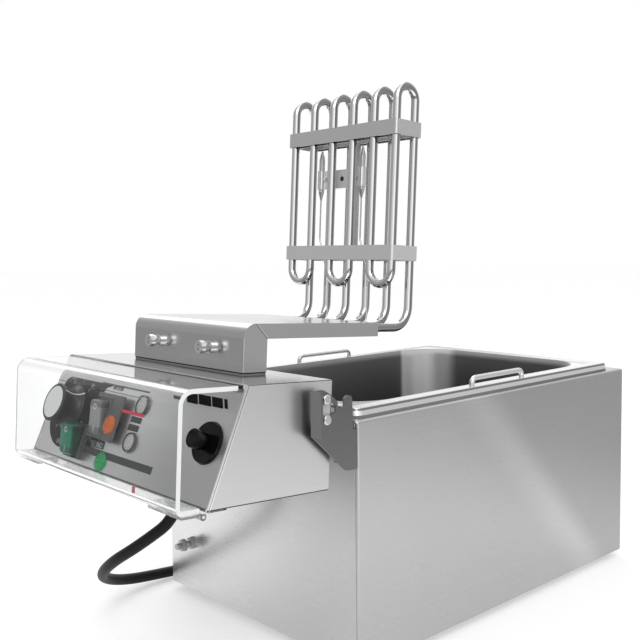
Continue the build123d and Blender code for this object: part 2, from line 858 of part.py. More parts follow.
# Probe clip with two spindle bulbs and their capillaries
clip_u = bar_u + bar_sheet
probe_u = clip_u + clip_sheet / 2 + 1.6
ring_outer = probe_radius + probe_fit + 1.2
with BuildPart() as probe_clip:
    with BuildSketch(HEAD.offset(clip_w)):
        with Locations((clip_x, clip_u + clip_sheet / 2)):
            Rectangle(2 * clip_half, clip_sheet)
        with Locations((clip_x - clip_half, probe_u), (clip_x + clip_half, probe_u)):
            Circle(ring_outer)
        with Locations((clip_x - clip_half, probe_u), (clip_x + clip_half, probe_u)):
            Circle(probe_radius + probe_fit, mode=Mode.SUBTRACT)
    extrude(amount=clip_height)
    with BuildSketch(BACK.offset(clip_u)):
        with Locations((-clip_x, clip_w + clip_height / 2)):
            Circle(2.6)
        with Locations(
            (-clip_x - clip_screw, clip_w + clip_height / 2),
            (-clip_x + clip_screw, clip_w + clip_height / 2),
        ):
            Circle(1.6)
    extrude(amount=clip_sheet, mode=Mode.SUBTRACT)
keep(probe_clip, "probe_clip")

with BuildPart() as clip_screws:
    for x in (clip_x - clip_screw, clip_x + clip_screw):
        with BuildSketch(BACK.offset(clip_u + clip_sheet)):
            with Locations((-x, clip_w + clip_height / 2)):
                Circle(3.0)
        extrude(amount=2.0, taper=12)
        with BuildSketch(BACK.offset(clip_u)):
            with Locations((-x, clip_w + clip_height / 2)):
                Circle(1.6)
        extrude(amount=clip_sheet)
        with BuildSketch(BACK.offset(clip_u + clip_sheet + 2.0)):
            with Locations((-x, clip_w + clip_height / 2)):
                Rectangle(3.4, 0.8)
                Rectangle(0.8, 3.4)
        extrude(amount=-0.9, mode=Mode.SUBTRACT)
keep(clip_screws, "clip_screws")


with BuildPart() as probe_bulbs:
    for x in (clip_x - clip_half, clip_x + clip_half):
        with BuildSketch(SIDE.offset(x)):
            with BuildLine():
                Polyline(
                    (probe_u, probe_low),
                    (probe_u + capillary_radius, probe_low),
                    (probe_u + probe_radius, probe_low + 9),
                    (probe_u + probe_radius, probe_high - 9),
                    (probe_u + capillary_radius, probe_high),
                    (probe_u, probe_high),
                    close=True,
                )
            make_face()
        revolve(axis=Axis(at(x, probe_u, 0), w_dir))
keep(probe_bulbs, "probe_bulbs")

with BuildPart() as capillaries:
    for x, run_x in ((clip_x - clip_half, -capillary_x), (clip_x + clip_half, capillary_x)):
        with BuildLine() as path:
            FilletPolyline(
                at(x, probe_u, probe_low),
                at(x, probe_u, 152),
                at(run_x, loop_mid, 112),
                at(run_x, loop_mid, capillary_w),
                at(run_x, entry_u, capillary_w),
                at(run_x, entry_u, tube_end_w),
                radius=13,
            )
        with BuildSketch(Plane(origin=at(x, probe_u, probe_low), x_dir=x_dir, z_dir=w_dir * -1)):
            Circle(capillary_radius)
        sweep(path=path.wires()[0])
keep(capillaries, "capillaries")

# Thermostat with its knob
knob_point = on_panel(knob_x, knob_s)
KNOB = Plane(origin=knob_point, x_dir=x_dir, z_dir=s_dir * -1)
knob_axis = Axis(knob_point, n_dir)
with BuildPart() as thermostat_body:
    with BuildSketch(PANEL.offset(-panel_sheet)):
        with Locations((knob_x, knob_s)):
            RectangleRounded(40, 40, 3)
            Circle(spindle_radius + spindle_fit, mode=Mode.SUBTRACT)
    extrude(amount=-26)
keep(thermostat_body, "thermostat_body")

with BuildPart() as thermostat_spindle:
    with BuildSketch(PANEL.offset(-panel_sheet - 16)):
        with Locations((knob_x, knob_s)):
            Circle(spindle_radius)
    extrude(amount=panel_sheet + 16 + 13)
keep(thermostat_spindle, "thermostat_spindle")

with BuildPart() as thermostat_knob:
    with BuildSketch(KNOB):
        with BuildLine():
            Polyline(
                (knob_radius, knob_height - 1.2),
                (knob_radius - 0.8, knob_height),
                (disc_radius, knob_height),
                (disc_radius, knob_height - 0.8),
                (0, knob_height - 0.8),
                (0, 13),
                (spindle_radius, 13),
                (spindle_radius, knob_lift),
                (skirt_radius, knob_lift),
                (skirt_radius, knob_lift + 1.4),
                (knob_radius + 0.8, knob_lift + 3.2),
            )
            ThreePointArc(
                (knob_radius + 0.8, knob_lift + 3.2),
                (knob_radius - knob_waist, (knob_lift + knob_height) / 2),
                (knob_radius, knob_height - 1.2),
            )
        make_face()
    revolve(axis=knob_axis)
keep(thermostat_knob, "thermostat_knob")

with BuildPart() as knob_disc:
    with BuildSketch(PANEL.offset(knob_height - 0.8)):
        with Locations((knob_x, knob_s)):
            Circle(disc_radius)
    extrude(amount=1.0)
keep(knob_disc, "knob_disc")


def make_rocker(x, s, pivot_h, half, width, reach):
    """Rocker cap: disc sector about its pivot under a flat face, on two trunnions."""
    face = sqrt(reach**2 - half**2)
    rock = Plane(origin=on_panel(x - width / 2, s, pivot_h), x_dir=s_dir, z_dir=x_dir)
    with BuildPart() as piece:
        with BuildSketch(rock):
            Circle(reach)
            with Locations(Location((0, 0, 0), (0, 0, -rocker_tilt))):
                with Locations((0, (face - rocker_keel) / 2)):
                    Rectangle(3 * reach, face + rocker_keel, mode=Mode.INTERSECT)
        extrude(amount=width)
        fillet(piece.edges().filter_by(GeomType.CIRCLE), rocker_corner)
        with BuildSketch(rock.offset(-rocker_gap - 0.8)):
            Circle(trunnion_radius)
        extrude(amount=width + 2 * rocker_gap + 1.6)
    return piece


green_pivot = green_top - rocker_drop
grey_pivot = platform_height - rocker_drop
green_rocker = make_rocker(green_x, green_s, green_pivot, green_half, green_width, green_reach)
keep(green_rocker, "green_rocker")
grey_rocker = make_rocker(grey_x, grey_s, grey_pivot, grey_half, grey_width, grey_reach)
keep(grey_rocker, "grey_rocker")

with BuildPart() as green_switch:
    with BuildSketch(PANEL):
        with Locations((green_x, green_s)):
            RectangleRounded(
                2 * (green_width / 2 + rocker_gap + rocker_wall),
                2 * (green_reach + rocker_gap + rocker_wall),
                2.6,
            )
    extrude(amount=green_top)
    with BuildSketch(PANEL):
        with Locations((green_x, green_s)):
            Rectangle(2 * green_body_x, 2 * green_body_s)
    extrude(amount=-green_depth)
    with BuildSketch(PANEL.offset(green_top)):
        with Locations((green_x, green_s)):
            Rectangle(green_width + 2 * rocker_gap, 2 * (green_reach + rocker_gap))
    extrude(amount=-(rocker_drop + 7.4), mode=Mode.SUBTRACT)
    with BuildSketch(Plane(origin=on_panel(green_x, green_s, green_pivot), x_dir=s_dir, z_dir=x_dir)):
        Circle(trunnion_radius + trunnion_fit)
    extrude(amount=green_width / 2 + rocker_gap + 0.9, both=True, mode=Mode.SUBTRACT)
keep(green_switch, "green_switch")

with BuildPart() as grey_switch:
    with BuildSketch(PANEL.offset(platform_height)):
        with Locations((grey_x, grey_s)):
            Rectangle(2 * grey_body_x, 2 * grey_body_s)
    extrude(amount=-(platform_height + 22))
    with BuildSketch(PANEL.offset(platform_height)):
        with Locations((grey_x, grey_s)):
            Rectangle(grey_width + 2 * rocker_gap, 2 * (grey_reach + rocker_gap))
    extrude(amount=-(rocker_drop + 8.4), mode=Mode.SUBTRACT)
    with BuildSketch(Plane(origin=on_panel(grey_x, grey_s, grey_pivot), x_dir=s_dir, z_dir=x_dir)):
        Circle(trunnion_radius + trunnion_fit)
    extrude(amount=grey_width / 2 + rocker_gap + 0.9, both=True, mode=Mode.SUBTRACT)
keep(grey_switch, "grey_switch")

with BuildPart() as switch_platform:
    with BuildSketch(PANEL):
        with Locations(((platform_left + platform_right) / 2, (platform_top_s + platform_foot_s) / 2)):
            RectangleRounded(platform_right - platform_left, platform_foot_s - platform_top_s, 4)
    extrude(amount=platform_height, taper=platform_taper)
    with BuildSketch(PANEL):
        with Locations((grey_x, grey_s)):
            Rectangle(2 * (grey_body_x + sheet_fit), 2 * (grey_body_s + sheet_fit))
        with Locations((orange_x, orange_s)):
            Circle(lamp_stem + sheet_fit)
    extrude(amount=platform_height, mode=Mode.SUBTRACT)
keep(switch_platform, "switch_platform")


def make_lens(places, base, radius, stem):
    """Round lamp lens: domed cap on the face and a stem through it."""
    with BuildPart() as piece:
        for x, s in places:
            with BuildSketch(PANEL.offset(base)):
                with Locations((x, s)):
                    Circle(radius)
            extrude(amount=1.6)
            with BuildSketch(PANEL.offset(base + 1.6)):
                with Locations((x, s)):
                    Circle(radius)
            extrude(amount=1.8, taper=40)
            with BuildSketch(PANEL.offset(base)):
                with Locations((x, s)):
                    Circle(lamp_stem)
            extrude(amount=-stem)
    return piece


orange_lens = make_lens([(orange_x, orange_s)], platform_height, orange_radius, platform_height + 14)
keep(orange_lens, "orange_lens")
green_lens = make_lens([(green_lamp_x, green_lamp_s)], 0, lens_radius, 3.2)
keep(green_lens, "green_lens")
clear_places = [(clear_lamp_x, clear_lamp_upper_s), (clear_lamp_x, clear_lamp_lower_s)]
clear_lenses = make_lens(clear_places, 0, clear_lens_radius, 14)
keep(clear_lenses, "clear_lenses")

with BuildPart() as lamp_bezels:
    with BuildSketch(PANEL):
        with Locations(clear_places):
            Circle(bezel_radius)
            Circle(clear_lens_radius + sheet_fit, mode=Mode.SUBTRACT)
    extrude(amount=2.4, taper=15)
keep(lamp_bezels, "lamp_bezels")

# Over-temperature limiter with its reset button
with BuildPart() as limiter_body:
    with BuildSketch(PANEL.offset(-panel_sheet)):
        with Locations((reset_x, reset_s)):
            Circle(15)
    extrude(amount=-25)
    with BuildSketch(PANEL.offset(-panel_sheet)):
        with Locations((reset_x, reset_s)):
            Circle(reset_neck + reset_fit)
    extrude(amount=-14, mode=Mode.SUBTRACT)
keep(limiter_body, "limiter_body")

with BuildPart() as reset_collar:
    with BuildSketch(PANEL):
        with Locations((reset_x, reset_s)):
            Circle(collar_radius)
            Circle(reset_neck + reset_fit, mode=Mode.SUBTRACT)
    extrude(amount=collar_height, taper=20)
keep(reset_collar, "reset_collar")

cap_base = collar_height + reset_travel + 2.1
with BuildPart() as reset_button:
    with BuildSketch(PANEL.offset(-8)):
        with Locations((reset_x, reset_s)):
            Circle(reset_neck)
    extrude(amount=8 + cap_base + 1)
    with BuildSketch(PANEL.offset(cap_base)):
        with Locations((reset_x, reset_s)):
            Circle(reset_cap)
    extrude(amount=reset_height - cap_base)
    fillet(reset_button.faces().sort_by_distance(on_panel(reset_x, reset_s, 30))[0].edges(), 1.0)
keep(reset_button, "reset_button")

with BuildPart() as terminal_block:
    with BuildSketch(BACK.offset(head_floor + head_sheet)):
        with Locations((20, -24)):
            Rectangle(64, 20)
    extrude(amount=9)
    with BuildSketch(BACK.offset(head_floor + head_sheet + 9)):
        with Locations((20, -24)):
            with GridLocations(12, 1, 5, 1):
                Rectangle(8, 16)
    extrude(amount=7)
keep(terminal_block, "terminal_block")

# Clear splash cover on two hinges along the foot of the panel
foot_level = cover_foot + cover_sheet
inner_wall = cover_wall - cover_sheet
with BuildPart() as splash_cover:
    with BuildSketch(SIDE.offset(-cover_half)):
        with BuildLine():
            Line((cover_start, cover_top - cover_sheet), (cover_start, cover_top))
            Line((cover_start, cover_top), (cover_wall - cover_bend, cover_top))
            RadiusArc((cover_wall - cover_bend, cover_top), (cover_wall, cover_top - cover_bend), cover_bend)
            Line((cover_wall, cover_top - cover_bend), (cover_wall, cover_foot + cover_foot_bend))
            RadiusArc(
                (cover_wall, cover_foot + cover_foot_bend),
                (cover_wall - cover_foot_bend, cover_foot),
                cover_foot_bend,
            )
            Line((cover_wall - cover_foot_bend, cover_foot), (cover_lip, cover_foot))
            Line((cover_lip, cover_foot), (cover_lip, foot_level))
            Line((cover_lip, foot_level), (cover_wall - cover_foot_bend, foot_level))
            RadiusArc(
                (cover_wall - cover_foot_bend, foot_level),
                (inner_wall, cover_foot + cover_foot_bend),
                cover_sheet - cover_foot_bend,
            )
            Line((inner_wall, cover_foot + cover_foot_bend), (inner_wall, cover_top - cover_bend))
            RadiusArc(
                (inner_wall, cover_top - cover_bend),
                (cover_wall - cover_bend, cover_top - cover_sheet),
                cover_sheet - cover_bend,
            )
            Line((cover_wall - cover_bend, cover_top - cover_sheet), (cover_start, cover_top - cover_sheet))
        make_face()
    extrude(amount=2 * cover_half)
keep(splash_cover, "splash_cover")

knuckle = flap_length / 3
with BuildPart() as hinge_leaves:
    for side in (-1, 1):
        with BuildSketch(SIDE.offset(side * flap_x - flap_length / 2)):
            with Locations(((flap_u - 20 + flap_u - 4) / 2, head_rear - leaf_sheet / 2)):
                Rectangle(16, leaf_sheet)
        extrude(amount=flap_length)
        with BuildSketch(SIDE.offset(side * flap_x - knuckle / 2 + flap_gap)):
            with Locations((flap_u - 3, head_rear - leaf_sheet / 2)):
                Rectangle(4, leaf_sheet)
            with Locations((flap_u, flap_w)):
                Circle(flap_knuckle)
            with BuildLine():
                Polyline(
                    (flap_u - 5, head_rear - 0.6),
                    (flap_u - 1, head_rear - 0.6),
                    (flap_u, flap_w),
                    (flap_u - 2.5, flap_w),
                    close=True,
                )
            make_face()
            with Locations((flap_u, flap_w)):
                Circle(flap_pin + 0.06, mode=Mode.SUBTRACT)
        extrude(amount=knuckle - 2 * flap_gap)
keep(hinge_leaves, "hinge_leaves")

with BuildPart() as cover_leaves:
    for side in (-1, 1):
        with BuildSketch(SIDE.offset(side * flap_x - flap_length / 2)):
            with Locations((flap_u + 11, cover_foot - leaf_sheet / 2)):
                Rectangle(15, leaf_sheet)
        extrude(amount=flap_length)
        for start in (-flap_length / 2, knuckle / 2):
            with BuildSketch(SIDE.offset(side * flap_x + start)):
                with Locations((flap_u + 3, cover_foot - leaf_sheet / 2)):
                    Rectangle(4, leaf_sheet)
                with Locations((flap_u, flap_w)):
                    Circle(flap_knuckle)
                    Circle(flap_pin, mode=Mode.SUBTRACT)
            extrude(amount=knuckle)
keep(cover_leaves, "cover_leaves")

with BuildPart() as cover_pins:
    for side in (-1, 1):
        with BuildSketch(SIDE.offset(side * flap_x - flap_length / 2)):
            with Locations((flap_u, flap_w)):
                Circle(flap_pin)
        extrude(amount=flap_length)
keep(cover_pins, "cover_pins")

# Cord gland, supply cord, coil of spare length, tie and plug
cord_radius = cord_diameter / 2
cord_z = cord_radius + tie_sheet + cord_fit
coil_start = (coil_x - coil_outer, coil_y, cord_z)
entry_depth = 3.0
cord_entry = at(gland_x, gland_u, head_rear + entry_depth)
route = [
    (cord_entry.X, cord_entry.Y, cord_entry.Z),
    (29.5, 269.0, 116.0),
    (65.3, 292.5, 83.1),
    (104.0, 304.0, 58.0),
    (141.0, 295.0, 32.0),
    (162.0, 258.0, 13.0),
    (165.0, 208.0, cord_z),
    (157.5, 159.0, cord_z),
    (coil_start[0] + 1.4, 97.0, cord_z),
    coil_start,
]
first_run = (Vector(*route[1]) - cord_entry).normalized()
ENTRY = Plane(origin=cord_entry, z_dir=first_run)
boot_slope = 180 / pi * atan((boot_radius - cord_radius - boot_wall) / boot_length)

with BuildPart() as cord_gland:
    with BuildSketch(HEAD.offset(head_rear - gland_collar)):
        with Locations((gland_x, gland_u)):
            RegularPolygon(gland_radius, 6, major_radius=False)
    extrude(amount=gland_collar)
    with BuildSketch(HEAD.offset(head_rear)):
        with Locations((gland_x, gland_u)):
            Circle(gland_radius - 3)
    extrude(amount=8)
    with BuildSketch(HEAD.offset(head_rear + head_sheet)):
        with Locations((gland_x, gland_u)):
            RegularPolygon(gland_radius, 6, major_radius=False)
    extrude(amount=4)
    with BuildSketch(ENTRY.offset(entry_depth + gland_collar - 0.5)):
        Circle(boot_radius)
    extrude(amount=boot_length, taper=boot_slope)
    with BuildSketch(ENTRY.offset(-2 * entry_depth)):
        Circle(cord_radius + cord_fit)
    extrude(amount=3 * entry_depth + gland_collar + boot_length, mode=Mode.SUBTRACT)
keep(cord_gland, "cord_gland")

def turn_radii(points):
    """Radius of each bend so that its arc takes 0.45 of the shorter run beside it."""
    radii = []
    for a, b, c in zip(points, points[1:], points[2:]):
        first = Vector(*b) - Vector(*a)
        second = Vector(*c) - Vector(*b)
        turn = radians(first.get_angle(second))
        radii.append(0.45 * min(first.length, second.length) / tan(turn / 2))
    return radii


bends = turn_radii(route)
print("cord runs", [round((Vector(*b) - Vector(*a)).length, 1) for a, b in zip(route, route[1:])])
print("cord bend radii", [round(r, 1) for r in bends])
with BuildPart() as cord_lead:
    with BuildLine() as lead_path:
        FilletPolyline(*route, radius=bends)
    with BuildSketch(ENTRY):
        Circle(cord_radius)
    sweep(path=lead_path.wires()[0])
keep(cord_lead, "cord_lead")
lead_length = lead_path.wires()[0].length
print("cord lead length", round(lead_length, 1))
print("lead volume ratio", round(cord_lead.part.volume / (pi * cord_radius**2 * lead_length), 4))


def coil_station(turn):
    """Point on the coil after so many quarter turns: in, up a layer, and out again."""
    down = 4 * coil_turns
    climb = 2.0
    if turn <= down:
        radius = coil_outer - coil_pitch * turn / 4
        z = cord_z
    elif turn <= down + climb:
        share = (turn - down) / climb
        radius = coil_outer - coil_pitch * coil_turns - coil_dip * sin(pi * share)
        z = cord_z + coil_layer * share
    else:
        radius = coil_outer - coil_pitch * coil_turns + coil_pitch * (turn - down - climb) / 4
        z = cord_z + coil_layer
    angle = pi + turn * pi / 2
    return Vector(coil_x + radius * cos(angle), coil_y + radius * sin(angle), z)


def coil_heading(turn):
    """Direction of the coil at a station."""
    angle = pi + turn * pi / 2
    around = Vector(-sin(angle), cos(angle), 0)
    down = 4 * coil_turns
    if down < turn < down + 2:
        radius = coil_outer - coil_pitch * coil_turns
        return (around + Vector(0, 0, 1.5 * coil_layer / (pi * radius))).normalized()
    return around


with BuildPart() as cord_coil:
    with BuildLine() as coil_path:
        for k in range(int(8 * coil_turns) + 2):
            p0 = coil_station(k)
            p1 = coil_station(k + 1)
            t0 = coil_heading(k)
            t1 = coil_heading(k + 1)
            chord = p1 - p0
            dot_t = t0.dot(t1)
            quad = 2 * dot_t - 2
            line = -2 * chord.dot(t0 + t1)
            reach = (-line - sqrt(line**2 - 4 * quad * chord.dot(chord))) / (2 * quad)
            if reach < 0:
                reach = (-line + sqrt(line**2 - 4 * quad * chord.dot(chord))) / (2 * quad)
            q0 = p0 + t0 * reach
            q1 = p1 - t1 * reach
            joint = (q0 + q1) * 0.5
            TangentArc(p0, joint, tangent=t0)
            TangentArc(joint, p1, tangent=(q1 - q0).normalized())
        plug_start = coil_station(8 * coil_turns + 2)
        Line(plug_start, plug_start + Vector(0, 2 * cord_diameter, 0))
    with BuildSketch(Plane(origin=coil_start, x_dir=x_dir, z_dir=(0, -1, 0))):
        Circle(cord_radius)
    sweep(path=coil_path.wires()[0])
keep(cord_coil, "cord_coil")
coil_wire = coil_path.wires()[0]
coil_length = coil_wire.length
coil_points = [coil_wire.position_at(k / 900) for k in range(901)]
skip = int(3 * cord_diameter / (coil_length / 900))
least = min(
    (coil_points[i] - coil_points[j]).length for i in range(901) for j in range(i + skip, 901)
)
print("coil length", round(coil_length, 1), "least gap", round(least - cord_diameter, 2))
print("coil volume ratio", round(cord_coil.part.volume / (pi * cord_radius**2 * coil_length), 4))
print("cord length", round(lead_length + coil_length, 1))

tie_mid = coil_outer - coil_pitch * 3 / 4
with BuildPart() as cord_tie:
    with BuildSketch(Plane(origin=(coil_x - tie_width / 2, 0, 0), x_dir=(0, 1, 0), z_dir=(1, 0, 0))):
        with Locations((coil_y - tie_mid, cord_z + coil_layer / 2)):
            RectangleRounded(
                coil_pitch + cord_diameter + 2 * (tie_sheet + cord_fit),
                coil_layer + cord_diameter + 2 * tie_sheet + cord_fit,
                cord_radius,
            )
            RectangleRounded(
                coil_pitch + cord_diameter + 2 * cord_fit,
                coil_layer + cord_diameter + cord_fit,
                cord_radius - tie_sheet,
                mode=Mode.SUBTRACT,
            )
    extrude(amount=tie_width)
keep(cord_tie, "cord_tie")

plug_y = plug_start.Y + cord_diameter
plug_z = plug_start.Z
PLUG = Plane(origin=(plug_start.X, plug_y, plug_z), x_dir=(0, 1, 0), z_dir=(1, 0, 0))
with BuildPart() as plug_body:
    with BuildSketch(PLUG):
        with BuildLine():
            Polyline(
                (0, 0),
                (0, cord_radius + 1.4),
                (24, cord_radius + 3.6),
                (28, plug_radius - 4),
                (34, plug_radius),
                (48, plug_radius),
                (52, plug_radius - 1),
                (52, 0),
                close=True,
            )
        make_face()
    revolve(axis=Axis((plug_start.X, plug_y, plug_z), (0, 1, 0)))
    with BuildSketch(Plane(origin=(plug_start.X, plug_y, plug_z), x_dir=x_dir * -1, z_dir=(0, 1, 0))):
        Circle(cord_radius + cord_fit)
    extrude(amount=cord_diameter + cord_fit, mode=Mode.SUBTRACT)
keep(plug_body, "plug_body")

with BuildPart() as plug_pins:
    for offset_x in (-9.5, 9.5):
        with BuildSketch(Plane(origin=(plug_start.X, plug_y + 52, plug_z), x_dir=x_dir * -1, z_dir=(0, 1, 0))):
            with Locations((offset_x, 0)):
                Circle(2.4)
        extrude(amount=19)
    chamfer(plug_pins.edges().group_by(Axis.Y)[-1], 0.8)
keep(plug_pins, "plug_pins")
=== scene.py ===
"""Finishes of a counter-top deep fryer: brushed sheet metal, tube elements, printed panel,
ribbed lamps, clear cover and supply cord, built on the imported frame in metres."""

import math
from collections import namedtuple

import bpy
import numpy as np
from mathutils import Matrix, Vector


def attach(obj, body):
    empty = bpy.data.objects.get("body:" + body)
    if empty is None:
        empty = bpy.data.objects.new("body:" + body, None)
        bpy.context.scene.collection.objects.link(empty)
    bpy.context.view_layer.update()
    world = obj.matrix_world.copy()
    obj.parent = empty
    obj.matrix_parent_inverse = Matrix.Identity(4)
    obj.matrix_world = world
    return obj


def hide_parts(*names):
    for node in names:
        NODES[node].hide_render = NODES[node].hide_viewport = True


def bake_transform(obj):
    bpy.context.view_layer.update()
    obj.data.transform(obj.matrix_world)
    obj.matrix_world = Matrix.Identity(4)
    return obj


bl_info = {
    "name": "Tilting Head Fryer Finishes",
    "version": (1, 0, 0),
    "blender": (4, 5, 0),
    "location": "View3D > Sidebar > Fryer",
    "description": "Dresses the packed fryer with its finishes, printed panel, tubes and cord",
    "category": "Object",
}

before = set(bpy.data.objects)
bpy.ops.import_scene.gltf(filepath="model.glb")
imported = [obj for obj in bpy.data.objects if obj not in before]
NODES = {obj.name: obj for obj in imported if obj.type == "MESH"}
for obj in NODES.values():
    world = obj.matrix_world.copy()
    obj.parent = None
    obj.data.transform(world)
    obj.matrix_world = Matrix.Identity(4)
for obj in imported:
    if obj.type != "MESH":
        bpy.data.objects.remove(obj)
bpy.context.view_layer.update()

# Head frame in millimetres: x across, u to the rear and w up, from the hinge axis
SHIFT = 83.647
LEAN = math.radians(3.5)
AXIS = np.array([0.0, 249.0 - SHIFT, 223.2])
X_DIR = np.array([1.0, 0.0, 0.0])
U_DIR = np.array([0.0, math.cos(LEAN), math.sin(LEAN)])
W_DIR = np.array([0.0, -math.sin(LEAN), math.cos(LEAN)])

# Corners of the head's sides, and planes just proud of the sides of the head and the hood
TOP_U, TOP_W = 71.5, 30.0
FOOT_U, FOOT_W = 104.5, -57.5
FRONT_U = -11.7
HEAD_SIDE, HOOD_SIDE, HOOD_REAR = 137.56, 83.16, 35.2
SIDES = ((-1.0, "left"), (1.0, "right"))

# Panel frame in millimetres: x across, s down the slope and h out of it, from its top edge
PANEL_RUN, PANEL_DROP = FOOT_U - TOP_U, TOP_W - FOOT_W
SLOPE = math.hypot(PANEL_RUN, PANEL_DROP)
PANEL_TOP = AXIS + TOP_U * U_DIR + TOP_W * W_DIR
S_DIR = (PANEL_RUN * U_DIR - PANEL_DROP * W_DIR) / SLOPE
N_DIR = (PANEL_DROP * U_DIR + PANEL_RUN * W_DIR) / SLOPE

# Fittings on the panel: the dial's middle, and the rockers with their pivots and sizes
DIAL_X, DIAL_S = 95.0, 47.5
Rocker = namedtuple("Rocker", "label x s pivot half width keel flank")
# flank: how much painted shade darkens each rocker's flanks
ROCKERS = (
    Rocker("green", 63.0, 73.5, 8.0, 13.25, 21.5, 6.6, 0.78),
    Rocker("grey", 34.0, 49.2, 4.4, 15.0, 19.5, 3.0, 0.5),
)


def in_head(x, u, w):
    """Head point: axis + x X + u U + w W, arrays of any shape, millimetres to metres."""
    return (AXIS + np.stack(np.broadcast_arrays(x, u, w), -1) @ [X_DIR, U_DIR, W_DIR]) / 1000


def on_panel(x, s, h):
    """Panel point: top edge + x X + s S + h N, arrays of any shape, millimetres to metres."""
    return (PANEL_TOP + np.stack(np.broadcast_arrays(x, s, h), -1) @ [X_DIR, S_DIR, N_DIR]) / 1000


def full_turn(count):
    """Row of angles round a full turn."""
    return np.linspace(0, 2 * np.pi, count, endpoint=False)[None, :]


def column(*values):
    """Column of numbers, one for each row of a grid."""
    return np.array(values, float)[:, None]


def arc(x, y, radius, start=0.0, end=360.0, count=72):
    """Points of an arc between two angles in degrees: centre + r (cos a, sin a)."""
    a = np.radians(np.linspace(start, end, count))
    return np.stack([x + radius * np.cos(a), y + radius * np.sin(a)], 1)


def unit(vectors):
    """Vectors brought to length 1."""
    return vectors / np.linalg.norm(vectors, axis=1, keepdims=True)


def carry(path, first, second, radius, count):
    """Circle carried along a path: P + r (cos a N1 + sin a N2)."""
    a = full_turn(count)[..., None]
    return path[:, None] + radius * (np.cos(a) * first[:, None] + np.sin(a) * second[:, None])


def grey(level):
    """Neutral colour."""
    return (level, level, level)


def grid_piece(name, points, wrap=True, cap=False, smooth=True):
    """Mesh of a grid of points, one quad a cell; rows may close, end rows be capped."""
    rows, columns = points.shape[:2]
    index = np.arange(rows * columns).reshape(rows, columns)
    following = np.roll(index, -1, 1)
    if not wrap:
        index, following = index[:, :-1], following[:, :-1]
    faces = np.stack([index[:-1], following[:-1], following[1:], index[1:]], -1).reshape(-1, 4).tolist()
    if cap:
        faces.append(index[0][::-1].tolist())
        faces.append(index[-1].tolist())
    mesh = bpy.data.meshes.new(name)
    mesh.from_pydata(points.reshape(-1, 3).tolist(), [], faces)
    mesh.polygons.foreach_set("use_smooth", np.full(len(mesh.polygons), smooth))
    mesh.update()
    return put(name, mesh)


def put(name, mesh):
    """New object at the origin that shows a mesh."""
    piece = bpy.data.objects.new(name, mesh)
    bpy.context.scene.collection.objects.link(piece)
    return piece


def dress(piece, material, body=None, slot=None):
    """Give a piece its material and, for a new one, its body; the slot is not used."""
    piece.data.materials.clear()
    piece.data.materials.append(material)
    if body:
        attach(piece, body)
    return piece


def dress_nodes(material, *names):
    """Give CAD nodes a material."""
    for name in names:
        dress(NODES[name], material)


class Wire:
    """A shader output that takes part in Python arithmetic."""

    def __init__(self, paint, socket):
        self.paint = paint
        self.socket = socket

    def __add__(self, other):
        return self.paint.math("ADD", self, other)

    def __radd__(self, other):
        return self.paint.math("ADD", other, self)

    def __sub__(self, other):
        return self.paint.math("SUBTRACT", self, other)

    def __rsub__(self, other):
        return self.paint.math("SUBTRACT", other, self)

    def __mul__(self, other):
        return self.paint.math("MULTIPLY", self, other)

    def __rmul__(self, other):
        return self.paint.math("MULTIPLY", other, self)

    def __truediv__(self, other):
        return self.paint.math("DIVIDE", self, other)

    def __rtruediv__(self, other):
        return self.paint.math("DIVIDE", other, self)

    def __neg__(self):
        return self.paint.math("SUBTRACT", 0.0, self)

    def __abs__(self):
        return self.paint.math("ABSOLUTE", self)


